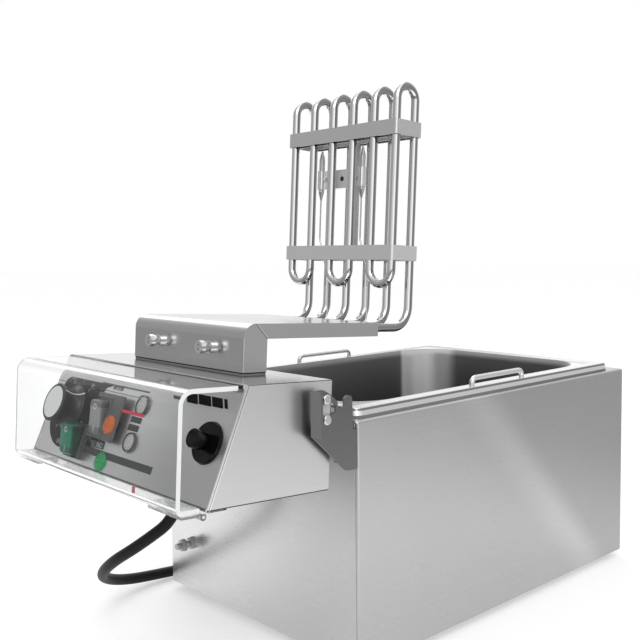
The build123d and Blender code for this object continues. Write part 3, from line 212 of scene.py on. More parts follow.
class Paint:
    """Node tree of one finish or of a world, with its shader."""

    def __init__(self, name, world=None):
        self.material = bpy.data.materials.new(name) if world is None else None
        owner = self.material if world is None else world
        owner.use_nodes = True
        self.tree = owner.node_tree
        self.shader = self.tree.nodes["Principled BSDF" if world is None else "Background"]

    def plug(self, socket, value):
        """Set a socket's own value, or link a wire to it."""
        if isinstance(value, Wire):
            self.tree.links.new(value.socket, socket)
        elif socket.type == "RGBA":
            socket.default_value = (*value, 1.0)
        else:
            socket.default_value = value

    def node(self, kind, output, settings=None, inputs=None):
        """Add a shader node: its settings, then its sockets by name or place; gives one output."""
        made = self.tree.nodes.new(f"ShaderNode{kind}")
        for key, value in (settings or {}).items():
            setattr(made, key, value)
        for key, value in (inputs or {}).items():
            self.plug(made.inputs[key], value)
        return Wire(self, made.outputs[output])

    def math(self, operation, a, b=0.0):
        """Math node on numbers or wires."""
        return self.node("Math", 0, {"operation": operation}, {0: a, 1: b})

    def mix(self, share, a, b):
        """Colour a where share is 0 and colour b where it is 1."""
        return self.node("Mix", 2, {"data_type": "RGBA"}, {0: share, 6: a, 7: b})

    def shade(self, tone, factor):
        """A colour scaled by a wire between 0 and 1."""
        return self.mix(factor, grey(0.0), tuple(tone))

    def here(self, kind="Object"):
        """Place in object coordinates, in metres, or another kind of coordinates."""
        return self.node("TexCoord", kind)

    def noise(self, scale, detail=2.0, rough=0.5):
        """Noise between 0 and 1, stretched by three scales."""
        place = self.node("Mapping", 0, None, {"Vector": self.here(), "Scale": scale})
        return self.node(
            "TexNoise", 0, {"normalize": True},
            {"Vector": place, "Scale": 1.0, "Detail": detail, "Roughness": rough},
        )

    def part(self, vector, axis):
        """One component of a vector."""
        return self.node("SeparateXYZ", axis, None, {0: vector})

    def along(self, vector, direction):
        """Dot product of a vector with a fixed direction."""
        inputs = {0: vector, 1: tuple(direction)}
        return self.node("VectorMath", 1, {"operation": "DOT_PRODUCT"}, inputs)

    def ray(self, *kinds):
        """1 for rays of any of these kinds, else 0."""
        total, *others = [self.node("LightPath", f"Is {kind} Ray") for kind in kinds]
        for wire in others:
            total = self.math("MAXIMUM", total, wire)
        return total

    def step(self, value, low, high):
        """Smooth step from 0 at low to 1 at high."""
        return self.node(
            "MapRange", 0, {"interpolation_type": "SMOOTHSTEP"},
            {"Value": value, "From Min": low, "From Max": high},
        )

    def bump(self, height, distance, strength):
        """Normal from a height."""
        inputs = {"Height": height, "Distance": distance, "Strength": strength}
        return self.node("Bump", 0, None, inputs)

    def set(self, **values):
        """Set the shader's sockets, an underscore for a space in a name, and give the material."""
        for key, value in values.items():
            self.plug(self.shader.inputs[key.replace("_", " ")], value)
        return self.material


def brushed_steel(name, tone, rough, streak, cloud, painted_light=None):
    """Rolled sheet: fine parallel brush marks and faint cloudy handling marks; painted_light(paint, place)
    gives a further factor of painted light and shade on its tone."""
    p = Paint(name)
    flat = p.step(abs(p.part(p.here("Normal"), 2)), 0.4, 0.7)
    level = p.noise((4, 4, 900))
    cross = p.noise((900, 4, 4))
    mark = level + (cross - level) * flat
    haze = p.noise((5, 5, 5), 3.0, 0.6)
    wipe = p.noise((22, 30, 26), 4.0, 0.65)
    factor = 1.0 - streak / 2 - cloud / 2 + mark * streak + haze * cloud
    # painted light and shade given by the caller, multiplied into the tone
    if painted_light:
        factor = factor * painted_light(p, p.here())
    return p.set(
        Base_Color=p.shade(tone, factor),
        Metallic=1.0, Roughness=rough - 0.06 + mark * 0.07 + wipe * 0.06,
        Normal=p.bump(mark, 0.00003, 0.06),
        Anisotropic=0.4, Anisotropic_Rotation=0.25,
    )


def painted_fade(low, high, depth):
    """Painted shade that lowers the tone by depth as -x goes from low to high."""
    return lambda p, here: 1.0 - p.step(-p.part(here, 0), low, high) * depth


def housing_painted_light(p, here):
    """Painted light on the housing: a pale slanting band of painted reflection, painted shade in the field
    behind it and painted shade towards its foot.
    """
    off = p.along(here, (0.0, 0.72, -0.694)) + 0.171
    # painted reflection: a pale band along a slanting line across the housing
    band = 1.0 - p.step(abs(off), 0.0, 0.034)
    # painted shade on the far side of the band
    painted_shade_behind = p.step(-off, 0.0, 0.03)
    # painted shade towards the foot
    foot = 1.0 - p.step(p.part(here, 2), 0.0, 0.2)
    return 0.80 + band * 0.09 - painted_shade_behind * 0.09 - foot * 0.14


def bright_steel(name, tone, rough):
    """Polished metal with faint smears and pits."""
    p = Paint(name)
    smear = p.noise((60, 60, 60), 3.0, 0.6)
    pit = p.noise((900, 900, 900))
    return p.set(
        Base_Color=p.shade(tone, 0.92 + smear * 0.08),
        Metallic=1.0, Roughness=rough + smear * 0.06 + pit * 0.03,
        Normal=p.bump(pit, 0.00002, 0.3),
    )


def moulded(name, tone, rough, grain=1400.0, depth=0.00003, coat=0.0, sheen=0.5):
    """Moulded plastic or rubber: fine grain and slight tone drift."""
    p = Paint(name)
    speck = p.noise((grain, grain, grain))
    drift = p.noise((35, 35, 35), 3.0, 0.6)
    return p.set(
        Base_Color=p.shade(tone, 0.94 + drift * 0.12),
        Roughness=rough - 0.04 + drift * 0.08 + speck * 0.04,
        Normal=p.bump(speck, depth, 0.5),
        Coat_Weight=coat, Coat_Roughness=0.08, Specular_IOR_Level=sheen,
    )


class FryerSizes(bpy.types.PropertyGroup):
    """Sizes of the pieces made here."""

    tube: bpy.props.FloatProperty(
        name="Element tube", description="Radius of the heating tubes", default=0.004, unit="LENGTH")
    cord: bpy.props.FloatProperty(
        name="Cord", description="Diameter of the supply cord", default=0.011, unit="LENGTH")
    rib: bpy.props.FloatProperty(
        name="Lens ribs", description="Spacing of the ribs on the lamp lenses", default=0.0018, unit="LENGTH")


class FryerColours(bpy.types.PropertyGroup):
    """Colours of the finishes."""

    steel: bpy.props.FloatVectorProperty(
        name="Sheet steel", description="Tone of the brushed sheet",
        default=(0.60, 0.60, 0.605), subtype="COLOR")
    ink: bpy.props.FloatVectorProperty(
        name="Panel print", description="Ink on the control panel",
        default=(0.008, 0.008, 0.0085), subtype="COLOR")
    green: bpy.props.FloatVectorProperty(
        name="Green rocker", description="Main switch cap",
        default=(0.006, 0.21, 0.12), subtype="COLOR")
    grey: bpy.props.FloatVectorProperty(
        name="Grey rocker", description="Second switch cap",
        default=(0.32, 0.32, 0.325), subtype="COLOR")
    orange: bpy.props.FloatVectorProperty(
        name="Orange lens", description="Lamp on the platform",
        default=(0.88, 0.19, 0.028), subtype="COLOR")


class FRYER_OT_sheet_metal(bpy.types.Operator):
    """Finish the housing, the head box, the carrier and the brackets"""

    bl_idname = "fryer.sheet_metal"
    bl_label = "Sheet metal"

    def bracket(self):
        """Dull folded plate; its rear-facing flange is painted lighter and made nearly non-metallic, painted
        light that keeps it near the tone of the plate.
        """
        p = Paint("bracket_steel")
        # rear-facing faces: painted light that lifts them out of their dark reflection
        rear = p.step(p.part(p.here("Normal"), 1), 0.4, 0.8)
        mark = p.noise((4, 4, 900))
        haze = p.noise((9, 9, 9), 3.0, 0.6)
        factor = (0.92 + mark * 0.08 + haze * 0.08) * (1.0 + rear * 0.3)
        return p.set(
            Base_Color=p.shade((0.19, 0.19, 0.192), factor),
            Metallic=1.0 - rear * 0.9,
            Roughness=0.33 + mark * 0.06 + haze * 0.05,
            Normal=p.bump(mark, 0.00003, 0.06),
            Anisotropic=0.4,
        )

    def strip(self, name, x, start, end, inward, near, far):
        """Flat band in a side plane: a + t (b - a) + d n, t from 0 to 1, d from near to far."""
        t, d = column(*np.linspace(0, 1, 9)), np.array([near, far])
        u, w = (start[k] + t * (end[k] - start[k]) + d * inward[k] for k in (0, 1))
        points = in_head(x, u, w)
        turn = np.cross(points[-1, 0] - points[0, 0], points[0, 1] - points[0, 0])[0] * x < 0
        return grid_piece(name, points[:, ::-1] if turn else points, wrap=False, smooth=False)

    def seams(self):
        """Painted highlights and dark lines on the sides of the head and the hood: pale strips of painted
        highlight along the folds, the mitre and the hood's corner, dark strips of painted shade along the
        fold and the head's top and foot edges, and a dark line on the mitre seam.
        """
        # pale strips are painted highlights; the dark strips are painted shade lines
        pale = bright_steel("edge_steel", grey(0.86), 0.22)
        shade = moulded("seam_shade", grey(0.05), 0.6, sheen=0.1)
        top, foot = (TOP_U, TOP_W), (FOOT_U, FOOT_W)
        fold = HEAD_SIDE, top, foot, (-PANEL_DROP / SLOPE, -PANEL_RUN / SLOPE)
        top_edge = HEAD_SIDE, top, (FRONT_U, TOP_W), (0.0, -1.0)
        foot_edge = HEAD_SIDE, foot, (FRONT_U, FOOT_W), (0.0, 1.0)
        mitre = HOOD_SIDE, (22.6, 71.2), (10.6, 59.1), (0.73, -0.69)
        corner = HOOD_SIDE, (HOOD_REAR, 59.4), (HOOD_REAR, 32.1), (-1.0, 0.0)
        for side, label in SIDES:
            for name, (x, *line), near, far, paint in (
                ("fold", fold, 0.0, 1.0, pale),
                ("fold_line", fold, 1.0, 1.5, shade),
                ("fold_inner", fold, 1.5, 2.6, pale),
                ("top_line", top_edge, 0.0, 0.5, shade),
                ("foot_line", foot_edge, 0.0, 0.7, shade),
                ("mitre", mitre, 0.0, 0.55, shade),
                ("mitre_edge", mitre, -0.7, 0.0, pale),
                ("corner", corner, 0.05, 0.95, pale),
            ):
                band = self.strip(f"{name}_{label}", side * x, *line, near, far)
                dress(band, paint, "head", "stainless_brushed")

    def hem(self):
        """Rolled hem along the head's top edge: centre + r (cos a, sin a), carried along X."""
        radius, a = 0.6, full_turn(12)
        x = column(*np.linspace(-136.0, 136.0, 9))
        points = in_head(x, TOP_U + 0.4 + radius * np.cos(a), TOP_W - 0.2 + radius * np.sin(a))
        return grid_piece("head_hem", points, cap=True)

    def execute(self, context):
        steel = context.scene.fryer_colours.steel
        for name, gain, rough, streak, cloud, painted_light, *nodes in (
            # The housing, the rear panel and the control panel take painted reflection and painted shade as a
            # further factor on their tone.
            ("housing_steel", 1.18, 0.28, 0.04, 0.10, housing_painted_light, "housing_wrap", "base_plate"),
            ("rear_steel", 1.22, 0.28, 0.08, 0.16, painted_fade(-0.10, 0.12, 0.28), "rear_panel"),
            ("head_steel", 1.05, 0.16, 0.05, 0.05, None, "head_case"),
            ("head_side_steel", 1.10, 0.34, 0.06, 0.05, None, "head_side_left", "head_side_right"),
            ("panel_steel", 1.50, 0.34, 0.06, 0.05, painted_fade(0.0, 0.10, 0.30), "control_panel"),
            ("carrier_steel", 0.92, 0.20, 0.05, 0.06, None, "element_carrier"),
        ):
            tone = tuple(gain * c for c in steel)
            dress_nodes(brushed_steel(name, tone, rough, streak, cloud, painted_light), *nodes)
        dress_nodes(self.bracket(), "head_bracket_left", "head_bracket_right")
        self.seams()
        dress(self.hem(), bright_steel("hem_steel", grey(0.34), 0.4), "head", "stainless_brushed")
        return {"FINISHED"}


class FRYER_OT_tank(bpy.types.Operator):
    """Finish the oil tank, its seal and its lifting rods"""

    bl_idname = "fryer.tank"
    bl_label = "Oil tank"

    def finish(self):
        """Drawn tank: walls darkened with painted shade, lighter towards the top and at the lip, one lighter
        rounded corner as a painted reflection, and a bright rim with a painted dark edge line and painted
        shade towards its far side.
        """
        p = Paint("tank_steel")
        here = p.here()
        x, y, z = (p.part(here, axis) for axis in range(3))
        past_side, past_end = p.step(abs(x), 0.1185, 0.1195), p.step(abs(y + 0.0731), 0.1835, 0.1845)
        rim = p.math("MAXIMUM", past_side, past_end)
        # painted reflection: a lighter band round one rounded corner of the tank
        deep = p.step(-y, 0.236, 0.252)
        corner = p.step(-y, 0.203, 0.212) * (1.0 - deep) * 0.86 + deep * p.step(x, 0.066, 0.084) * 0.62
        # painted light: a lighter band just under the rim
        painted_lip_light = p.step(z, 0.2150, 0.2228)
        # painted shade on the far side of the rim
        far = p.step(p.along(here, (0.62, -0.78, 0)), 0.15, 0.22)
        # painted shade: a dark line along the rim's outer edge
        line = p.step(z, 0.2214, 0.2220) * (1.0 - p.step(z, 0.2232, 0.2238))
        mark = p.noise((6, 6, 1500))
        haze = p.noise((7, 7, 7), 3.0, 0.6)
        # walls darkened as painted shade, lighter towards the top, with the painted corner reflection and lip
        # light
        painted_wall_tone = 0.20 + p.step(z, 0.13, 0.223) * 0.10 + corner * 0.8 + painted_lip_light * 0.30
        tone = painted_wall_tone + rim * (0.88 - line * 0.6 - far * 0.30 - painted_wall_tone)
        return p.set(
            Base_Color=p.shade(grey(1.0), tone * (0.92 + mark * 0.08 + haze * 0.04)),
            Metallic=1.0 - (1.0 - rim) * p.math("MINIMUM", painted_lip_light * 0.8 + corner * 0.5, 1.0),
            Roughness=0.34 - rim * 0.14 + haze * 0.04,
            Normal=p.bump(mark, 0.00003, 0.05),
            Anisotropic=0.7, Anisotropic_Rotation=0.25,
        )

    def gasket(self):
        """Thin black seal whose lower part is painted grey as a painted reflection of the steel beside it."""
        p = Paint("gasket_rubber")
        joint = float(AXIS @ W_DIR) / 1000 + 0.0308
        # lower part painted grey: painted reflection of the steel beside the seal
        upper = p.step(p.along(p.here(), W_DIR), joint, joint + 0.0002)
        tone = p.mix(upper, grey(0.20), grey(0.006))
        grain = p.noise((300, 300, 300))
        return p.set(Base_Color=tone, Roughness=0.5 + grain * 0.1, Specular_IOR_Level=0.1)

    def execute(self, context):
        dress_nodes(self.finish(), "oil_tank")
        dress_nodes(moulded("seal_rubber", grey(0.24), 0.6), "tank_seal")
        dress_nodes(self.gasket(), "hood_gasket")
        dress_nodes(bright_steel("rod_steel", grey(0.78), 0.32), "tank_handles")
        return {"FINISHED"}


class FRYER_OT_elements(bpy.types.Operator):
    """Bend the tube elements and finish what holds them"""

    bl_idname = "fryer.elements"
    bl_label = "Heating elements"

    pitch = 28.8
    exit_u, exit_w = 22.5, 14.0
    arm_w, arm_bend = 66.0, 14.0
    back_u, front_u, rise_bend = -170.2, -144.9, 20.0
    loop_w, low_w = 281.75, 121.3

    def leg(self, x):
        """Leg from the head along the arm, up and over its loop: straight runs between arcs."""
        bend, rise, loop = self.arm_bend, self.rise_bend, (self.front_u - self.back_u) / 2
        run = np.concatenate([
            [(self.exit_u, self.exit_w)],
            arc(self.exit_u - bend, self.arm_w - bend, bend, 0, 90, 13),
            arc(self.back_u + rise, self.arm_w + rise, rise, -90, -180, 15),
            arc(self.back_u + loop, self.loop_w, loop, 180, 0, 25),
        ])
        return np.insert(run, 0, x, axis=1)

    def tube(self, first, second, radius):
        """Circle carried along one leg, the low turn and the other leg."""
        turn = arc((first + second) / 2, self.low_w, self.pitch / 2, 180, 360, 25)
        out, back = self.leg(first), self.leg(second)[::-1]
        path = np.concatenate([out, np.insert(turn, 1, self.front_u, axis=1), back])
        heading = unit(np.gradient(path, axis=0))
        across = np.zeros_like(path)
        across[:, 0] = np.where(np.arange(len(path)) < len(path) // 2, 1.0, -1.0)
        at_turn = slice(len(out), -len(back))
        across[at_turn] = np.cross([0.0, -1.0, 0.0], heading[at_turn])
        across = unit(across)
        ring = carry(path, across, np.cross(heading, across), radius, 24)
        return in_head(*np.moveaxis(ring, -1, 0))

    def sheath(self):
        """Polished tube: a painted highlight line and a painted shade line along it, placed by which way its
        surface faces.
        """
        p = Paint("tube_sheath")
        smear = p.noise((40, 40, 12), 4.0, 0.65)
        # painted highlight and painted shade, set by the way the surface faces
        side = p.along(p.here("Normal"), (-0.675, -0.737, 0.0))
        bright = p.step(side, -0.16, 0.0) * (1.0 - p.step(side, 0.14, 0.24))
        dull = p.step(side, 0.20, 0.34) * (1.0 - p.step(side, 0.5, 0.95) * 0.6)
        factor = (0.66 + bright * 0.34 - dull * 0.36) * (0.94 + smear * 0.06)
        return p.set(Base_Color=p.shade(grey(0.98), factor), Metallic=1.0, Roughness=0.07 + smear * 0.06)

    def execute(self, context):
        radius = context.scene.fryer_sizes.tube * 1000
        x = self.pitch * (np.arange(6) - 2.5)
        sheath = self.sheath()
        for k, pair in enumerate(x.reshape(3, 2)):
            tube = grid_piece(f"element_{k + 1}", self.tube(*pair, radius), cap=True)
            dress(tube, sheath, "head", "tube_bright")
        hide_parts("heating_elements")
        strap = brushed_steel("strap_steel", (0.84, 0.84, 0.845), 0.30, 0.06, 0.08)
        dress_nodes(strap, "element_strap_lower", "centre_bar", "probe_clip")
        upper = brushed_steel("upper_strap_steel", (0.70, 0.70, 0.705), 0.30, 0.06, 0.08)
        dress_nodes(upper, "element_strap_upper")
        dress_nodes(bright_steel("probe_steel", (0.68, 0.67, 0.65), 0.2), "probe_bulbs", "capillaries")
        brass = bright_steel("ferrule_brass", (0.66, 0.50, 0.24), 0.28)
        dress_nodes(brass, "element_ferrules", "element_terminals")
        return {"FINISHED"}


def add_spline(curve, kind, points):
    """Add a spline with points of two or three numbers to a curve."""
    spline = curve.splines.new(kind)
    spline.points.add(len(points) - 1)
    co = np.zeros((len(points), 4))
    co[:, :len(points[0])] = points
    co[:, 3] = 1
    spline.points.foreach_set("co", co.ravel())
    return spline


def curve_mesh(curve):
    """Mesh of a curve or text, under its name, and the mesh's points."""
    holder = bpy.data.objects.new(curve.name, curve)
    mesh = bpy.data.meshes.new_from_object(holder)
    mesh.name = curve.name
    bpy.data.objects.remove(holder)
    bpy.data.curves.remove(curve)
    co = np.zeros(len(mesh.vertices) * 3)
    mesh.vertices.foreach_get("co", co)
    return mesh, co.reshape(-1, 3)


def lay_on_panel(curve, scale, x, s, height, tilt=0.0):
    """Mesh of a flat curve or text, laid over the panel at (x, s), tilted about X."""
    mesh, co = curve_mesh(curve)
    across, down = co[:, 0] * scale, co[:, 1] * scale
    points = on_panel(x + across, s + down * math.cos(tilt), height - down * math.sin(tilt))
    mesh.vertices.foreach_set("co", points.ravel())
    mesh.update()
    return mesh


def flat_mesh(name, outlines, height, x=0.0, s=0.0, tilt=0.0):
    """Flat figure on the panel: closed outlines round (x, s), filled, at a height."""
    curve = bpy.data.curves.new(name, "CURVE")
    curve.dimensions = "2D"
    curve.fill_mode = "BOTH"
    for outline in outlines:
        add_spline(curve, "POLY", outline).use_cyclic_u = True
    return lay_on_panel(curve, 1.0, x, s, height, tilt)


def word_mesh(name, text, size, x, s):
    """Short text centred at a panel point, just over the print, size in millimetres."""
    curve = bpy.data.curves.new(name, "FONT")
    curve.body = text
    curve.align_x = "CENTER"
    curve.align_y = "CENTER"
    curve.resolution_u = 4
    return lay_on_panel(curve, size * 1.35, x, s, 0.12)


def box_outline(x0, x1, s0, s1, corner=0.8):
    """Rounded rectangle: a quarter arc round each corner's centre."""
    left, right, high, low = x0 + corner, x1 - corner, s0 + corner, s1 - corner
    centres = ((right, low), (left, low), (left, high), (right, high))
    return np.concatenate([arc(*c, corner, 90 * k, 90 * k + 90, 5) for k, c in enumerate(centres)])


class FRYER_OT_panel_print(bpy.types.Operator):
    """Print the dial field, bars, tags and numbers on the panel"""

    bl_idname = "fryer.panel_print"
    bl_label = "Panel print"

    field_top, field_foot = 18.4, 80.8
    opening_left, opening_right, opening_top = 51.5, 74.5, 58.6

    def switch_field(self):
        """Two outlines that leave out the green switch and a round zone about the platform."""
        top, foot, left, right = self.field_top, self.field_foot, self.opening_left, self.opening_right
        zone, rest = arc(31, 47, 28.5, -71, 24, 30), arc(31, 47, 28.5, 44, 68, 10)
        upper = [(DIAL_X, foot), (DIAL_X, top), (zone[0, 0], top), *zone,
                 (right, self.opening_top), (right, foot)]
        lower = [*rest, (rest[-1, 0], foot), (left, foot)]
        return upper[::-1], lower[::-1]

    def bars(self):
        """Slanted bars: boxes sheared about a level line."""
        lean = np.array([[1.0, 0.0], [-0.62, 1.0]])
        middle, shift = np.array([0.0, 17.0]), np.array([2.3, 0.0])
        return [(box_outline(*sides, 0.3) - middle) @ lean + middle - shift for sides in (
            (-81.0, -66.0, 13.6, 21.2), (-98.6, -82.2, 13.2, 20.8), (-113.6, -99.8, 13.0, 20.4),
            (-119.6, -115.4, 13.0, 20.0), (-64.4, -51.0, 13.6, 19.0))]

    def dial_marks(self):
        """Ticks at even angles round the dial, some with numbers."""
        tick = np.array([[24.2, -0.45], [27.2, -0.45], [27.2, 0.45], [24.2, 0.45]])
        for k, number in enumerate(("50", "", "100", "", "150", "", "200", "", "")):
            a = math.radians(227 + k * 290 / 8)
            c, d = math.cos(a), math.sin(a)
            if number:
                yield word_mesh(f"dial_{number}", number, 4.6, DIAL_X + 31.5 * c, DIAL_S + 31.5 * d)
            yield flat_mesh(f"tick_{k}", [tick @ [[c, d], [-d, c]] + [DIAL_X, DIAL_S]], 0.11)

    def execute(self, context):
        ink, black, soft, white, faint = (
            moulded(f"{name}_ink", tone, rough, 500.0, 0.00001, sheen=sheen) for name, tone, rough, sheen in (
                ("panel", context.scene.fryer_colours.ink, 0.5, 0.12),
                ("bar", grey(0.004), 0.6, 0.1),
                ("strip", (0.055, 0.055, 0.056), 0.5, 0.3),
                ("pale", (0.72, 0.72, 0.70), 0.5, 0.5),
                ("faint", grey(0.40), 0.5, 0.5),
            ))
        dial = np.maximum(arc(DIAL_X, DIAL_S, 36.5)[:-1], [76.0, self.field_top])
        strips = (-58.4, self.opening_left, 75.4, 81.4, 0.3), (-18.6, 60, 16.4, 19.0, 0.3)
        tags = ((22.0, 38.6, 19.0, 24.2), (20.4, 36.8, 68.2, 74.6),
                (-21.3, -4.9, 41.2, 46.2), (-21.1, -4.7, 47.8, 53.2))
        for name, outlines, height, paint in (
            ("dial_field", [dial], 0.05, ink),
            ("switch_field", self.switch_field(), 0.06, ink),
            ("field_strip", [box_outline(*sides) for sides in strips], 0.07, soft),
            ("tags", [box_outline(*sides) for sides in tags], 0.08, soft),
            ("bars", self.bars(), 0.08, black),
        ):
            dress(put(name, flat_mesh(name, outlines, height)), paint, "head", "black_plastic")
        words = word_mesh("mark_off", "OFF", 4.0, 30.3, 21.6), word_mesh("mark_on", "ON", 4.6, 28.6, 71.4)
        for paint, meshes in ((white, words), (faint, self.dial_marks())):
            for mesh in meshes:
                dress(put(mesh.name, mesh), paint, "head", "white_plastic")
        return {"FINISHED"}


class FRYER_OT_knob(bpy.types.Operator):
    """Turn the thermostat knob with its waist, cap disc and pointer"""

    bl_idname = "fryer.knob"
    bl_label = "Thermostat knob"

    share = np.linspace(0, 1, 40)
    waist = 17.3 - 1.5 * np.sin(np.pi * share) ** 1.2 + 3.7 * (1 - share) ** 6
    rise = 1.6 + 17.2 * share

    def turned(self, radius, height, angle):
        """Profile turned about the dial's middle: (r cos a, r sin a, h)."""
        return on_panel(DIAL_X + radius * np.cos(angle), DIAL_S + radius * np.sin(angle), height)

    def grip(self):
        """Waisted grip: radius 17.3 - 1.5 sin(pi t)^1.2 with a flare of 3.7 (1 - t)^6 at the skirt."""
        radius = column(3.2, 20.4, 21.0, *self.waist, 17.3, 16.9, 16.2, 15.95, 15.9)
        height = column(0.6, 0.6, 1.0, *self.rise, 19.4, 19.9, 20.1, 20.0, 19.2)
        return grid_piece("knob_grip", self.turned(radius, height, full_turn(96)), cap=True)

    def pointer(self):
        """Narrow line up the grip, just over its profile."""
        angle = math.radians(226) + np.linspace(-0.035, 0.035, 5)
        points = self.turned(column(*self.waist) + 0.12, column(*self.rise), angle)
        return grid_piece("knob_pointer", points, wrap=False)

    def disc(self):
        """Turned disc: fine rings round its middle and a dark rim."""
        p = Paint("disc_turned")
        inputs = {0: p.here(), 1: tuple(on_panel(DIAL_X, DIAL_S, 20.0))}
        away = p.node("VectorMath", 0, {"operation": "SUBTRACT"}, inputs)
        reach = p.node("VectorMath", 1, {"operation": "LENGTH"}, {0: away})
        groove = p.math("SINE", reach * 14000.0)
        rim = p.step(reach, 0.0143, 0.0146)
        return p.set(
            Base_Color=p.mix(rim, grey(0.96), (0.014, 0.014, 0.015)),
            Metallic=0.35 - rim * 0.35,
            Roughness=0.32 + groove * 0.04,
            Normal=p.bump(groove, 0.00002, 0.5),
            Anisotropic=0.5,
        )

    def execute(self, context):
        black = moulded("knob_black", (0.012, 0.012, 0.013), 0.34, 900.0, coat=0.08, sheen=0.35)
        grip = dress(self.grip(), black, "knob", "black_plastic")
        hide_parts("thermostat_knob")
        dress(self.pointer(), moulded("pointer_white", (0.78, 0.78, 0.76), 0.45), "knob", "white_plastic")
        dress_nodes(self.disc(), "knob_disc")
        dress_nodes(bright_steel("spindle_steel", grey(0.6), 0.3), "thermostat_spindle")
        return {"FINISHED"}


class FRYER_OT_switches(bpy.types.Operator):
    """Mould both rocker switches and the platform, and mark 0 and I"""

    bl_idname = "fryer.switches"
    bl_label = "Rocker switches"

    tilt = math.radians(16.8)
    run = math.cos(tilt) * S_DIR - math.sin(tilt) * N_DIR
    low_end = 2.0

    def face(self, rocker):
        """Height of a rocker's face over its pivot, square to the face."""
        return (self.low_end + rocker.half * math.sin(self.tilt)) / math.cos(self.tilt)

    def tilted(self, rocker, b, c):
        """Panel (s, h) in a rocker's tilted frame: s + b cos t + c sin t, pivot - b sin t + c cos t."""
        cos, sin = math.cos(self.tilt), math.sin(self.tilt)
        return rocker.s + b * cos + c * sin, rocker.pivot - b * sin + c * cos

    def cap(self, rocker, tone):
        """Glossy moulded cap with painted shade on its flanks and towards its ends."""
        p = Paint(f"rocker_{rocker.label}")
        # painted shade on the flanks
        flank = p.step(abs(p.part(p.here("Normal"), 0)), 0.35, 0.95)
        drift = p.noise((60, 60, 60), 3.0, 0.6)
        middle = float(on_panel(0.0, rocker.s - 0.06 * rocker.half, rocker.pivot) @ self.run) * 1000
        reach = abs(p.along(p.here(), self.run) * 1000.0 - middle) / rocker.half
        # painted shade towards both ends of the face
        end = p.step(reach, 0.50, 0.62)
        factor = (0.94 + drift * 0.12) * (1.0 - flank * rocker.flank) * (1.0 - end * 0.45)
        return p.set(Base_Color=p.shade(tone, factor), Roughness=0.26 + drift * 0.06, Specular_IOR_Level=0.3)

    def paddle(self, rocker):
        """Rounded cap in the tilted frame (x, b, c): its top edge follows inset r (1 - cos a) and
        depth r (1 - sin a), and its sides go down to c = -keel."""
        a, edge = np.radians(np.linspace(0, 90, 7)), 2.4
        half, side = rocker.half, rocker.width / 2
        inset = [0.4, *(edge * (1 - np.cos(a)))]
        c = column(-rocker.keel, *(self.face(rocker) - edge * (1 - np.sin(a))))
        flat = np.stack([box_outline(k - side, side - k, k - half, half - k, 4.0 - k) for k in inset])
        points = on_panel(rocker.x + flat[..., 0], *self.tilted(rocker, flat[..., 1], c))
        return grid_piece(f"{rocker.label}_paddle", points, cap=True)

    def marks(self, rocker):
        """0 and I just over a rocker's face."""
        zero = [arc(0, 0, 2.5)[:-1], arc(0, 0, 1.8)[:-1]]
        bar = [box_outline(-0.45, 0.45, -2.4, 2.4, 0.2)]
        for name, figure, reach in (("off", zero, -0.62), ("on", bar, 0.62)):
            s, h = self.tilted(rocker, reach * rocker.half, self.face(rocker) + 0.06)
            yield flat_mesh(f"{rocker.label}_mark_{name}", figure, h, rocker.x, s, self.tilt)

    def ring(self, name, stages, floor):
        """Loft up the outside and down a well: each stage is a rounded rectangle and its heights."""
        flat = np.stack([box_outline(*sides) for sides, *heights in stages for _ in heights])
        h = column(*(height for _, *heights in stages for height in heights))
        return grid_piece(name, on_panel(flat[..., 0], flat[..., 1], h), cap=floor, smooth=False)

    def execute(self, context):
        for rocker in ROCKERS:
            paint = self.cap(rocker, getattr(context.scene.fryer_colours, rocker.label))
            paddle = dress(self.paddle(rocker), paint, f"{rocker.label}_rocker", f"{rocker.label}_plastic")
            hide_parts(f"{rocker.label}_rocker")
        black = moulded("switch_black", (0.085, 0.085, 0.087), 0.5, sheen=0.1)
        dark = moulded("platform_dark", (0.105, 0.105, 0.108), 0.36, sheen=0.4)
        dull = moulded("collar_grey", (0.11, 0.11, 0.112), 0.4, sheen=0.3)
        for name, node, paint, slot, floor, *stages in (
            ("green_collar", "green_switch", black, "black_plastic", False,
             ((51.2, 74.8, 58.3, 88.7, 1.6), 0.0, 4.6), ((51.6, 74.4, 58.7, 88.3, 1.4), 5.0),
             ((52.0, 74.0, 58.9, 88.1, 0.8), 5.0, 0.3), ((52.1, 73.9, 60.4, 86.6, 0.8), 0.3, -2.6)),
            ("platform", "switch_platform", dark, "platform_grey", False,
             ((15.5, 47.0, 31.0, 66.9, 1.6), 0.0, 3.8), ((4.8, 48.4, 28.0, 67.4, 2.0), 4.2, 5.8),
             ((6.4, 47.4, 29.2, 66.9, 1.6), 6.4), ((22.5, 45.5, 31.9, 66.6, 0.6), 6.4, 0.2)),
            ("grey_collar", "grey_switch", dull, "black_plastic", True,
             ((20.4, 46.2, 31.0, 66.8, 1.6), 6.2, 6.9), ((20.9, 45.8, 31.4, 66.6, 1.4), 7.3),
             ((22.9, 45.1, 32.4, 66.1, 0.8), 7.3, 0.8)),
        ):
            piece = dress(self.ring(name, stages, floor), paint, "head", slot)
            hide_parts(node)
        white = moulded("switch_white", (0.8, 0.8, 0.78), 0.4)
        for rocker in ROCKERS:
            for mesh in self.marks(rocker):
                dress(put(mesh.name, mesh), white, f"{rocker.label}_rocker", "white_plastic")
        return {"FINISHED"}


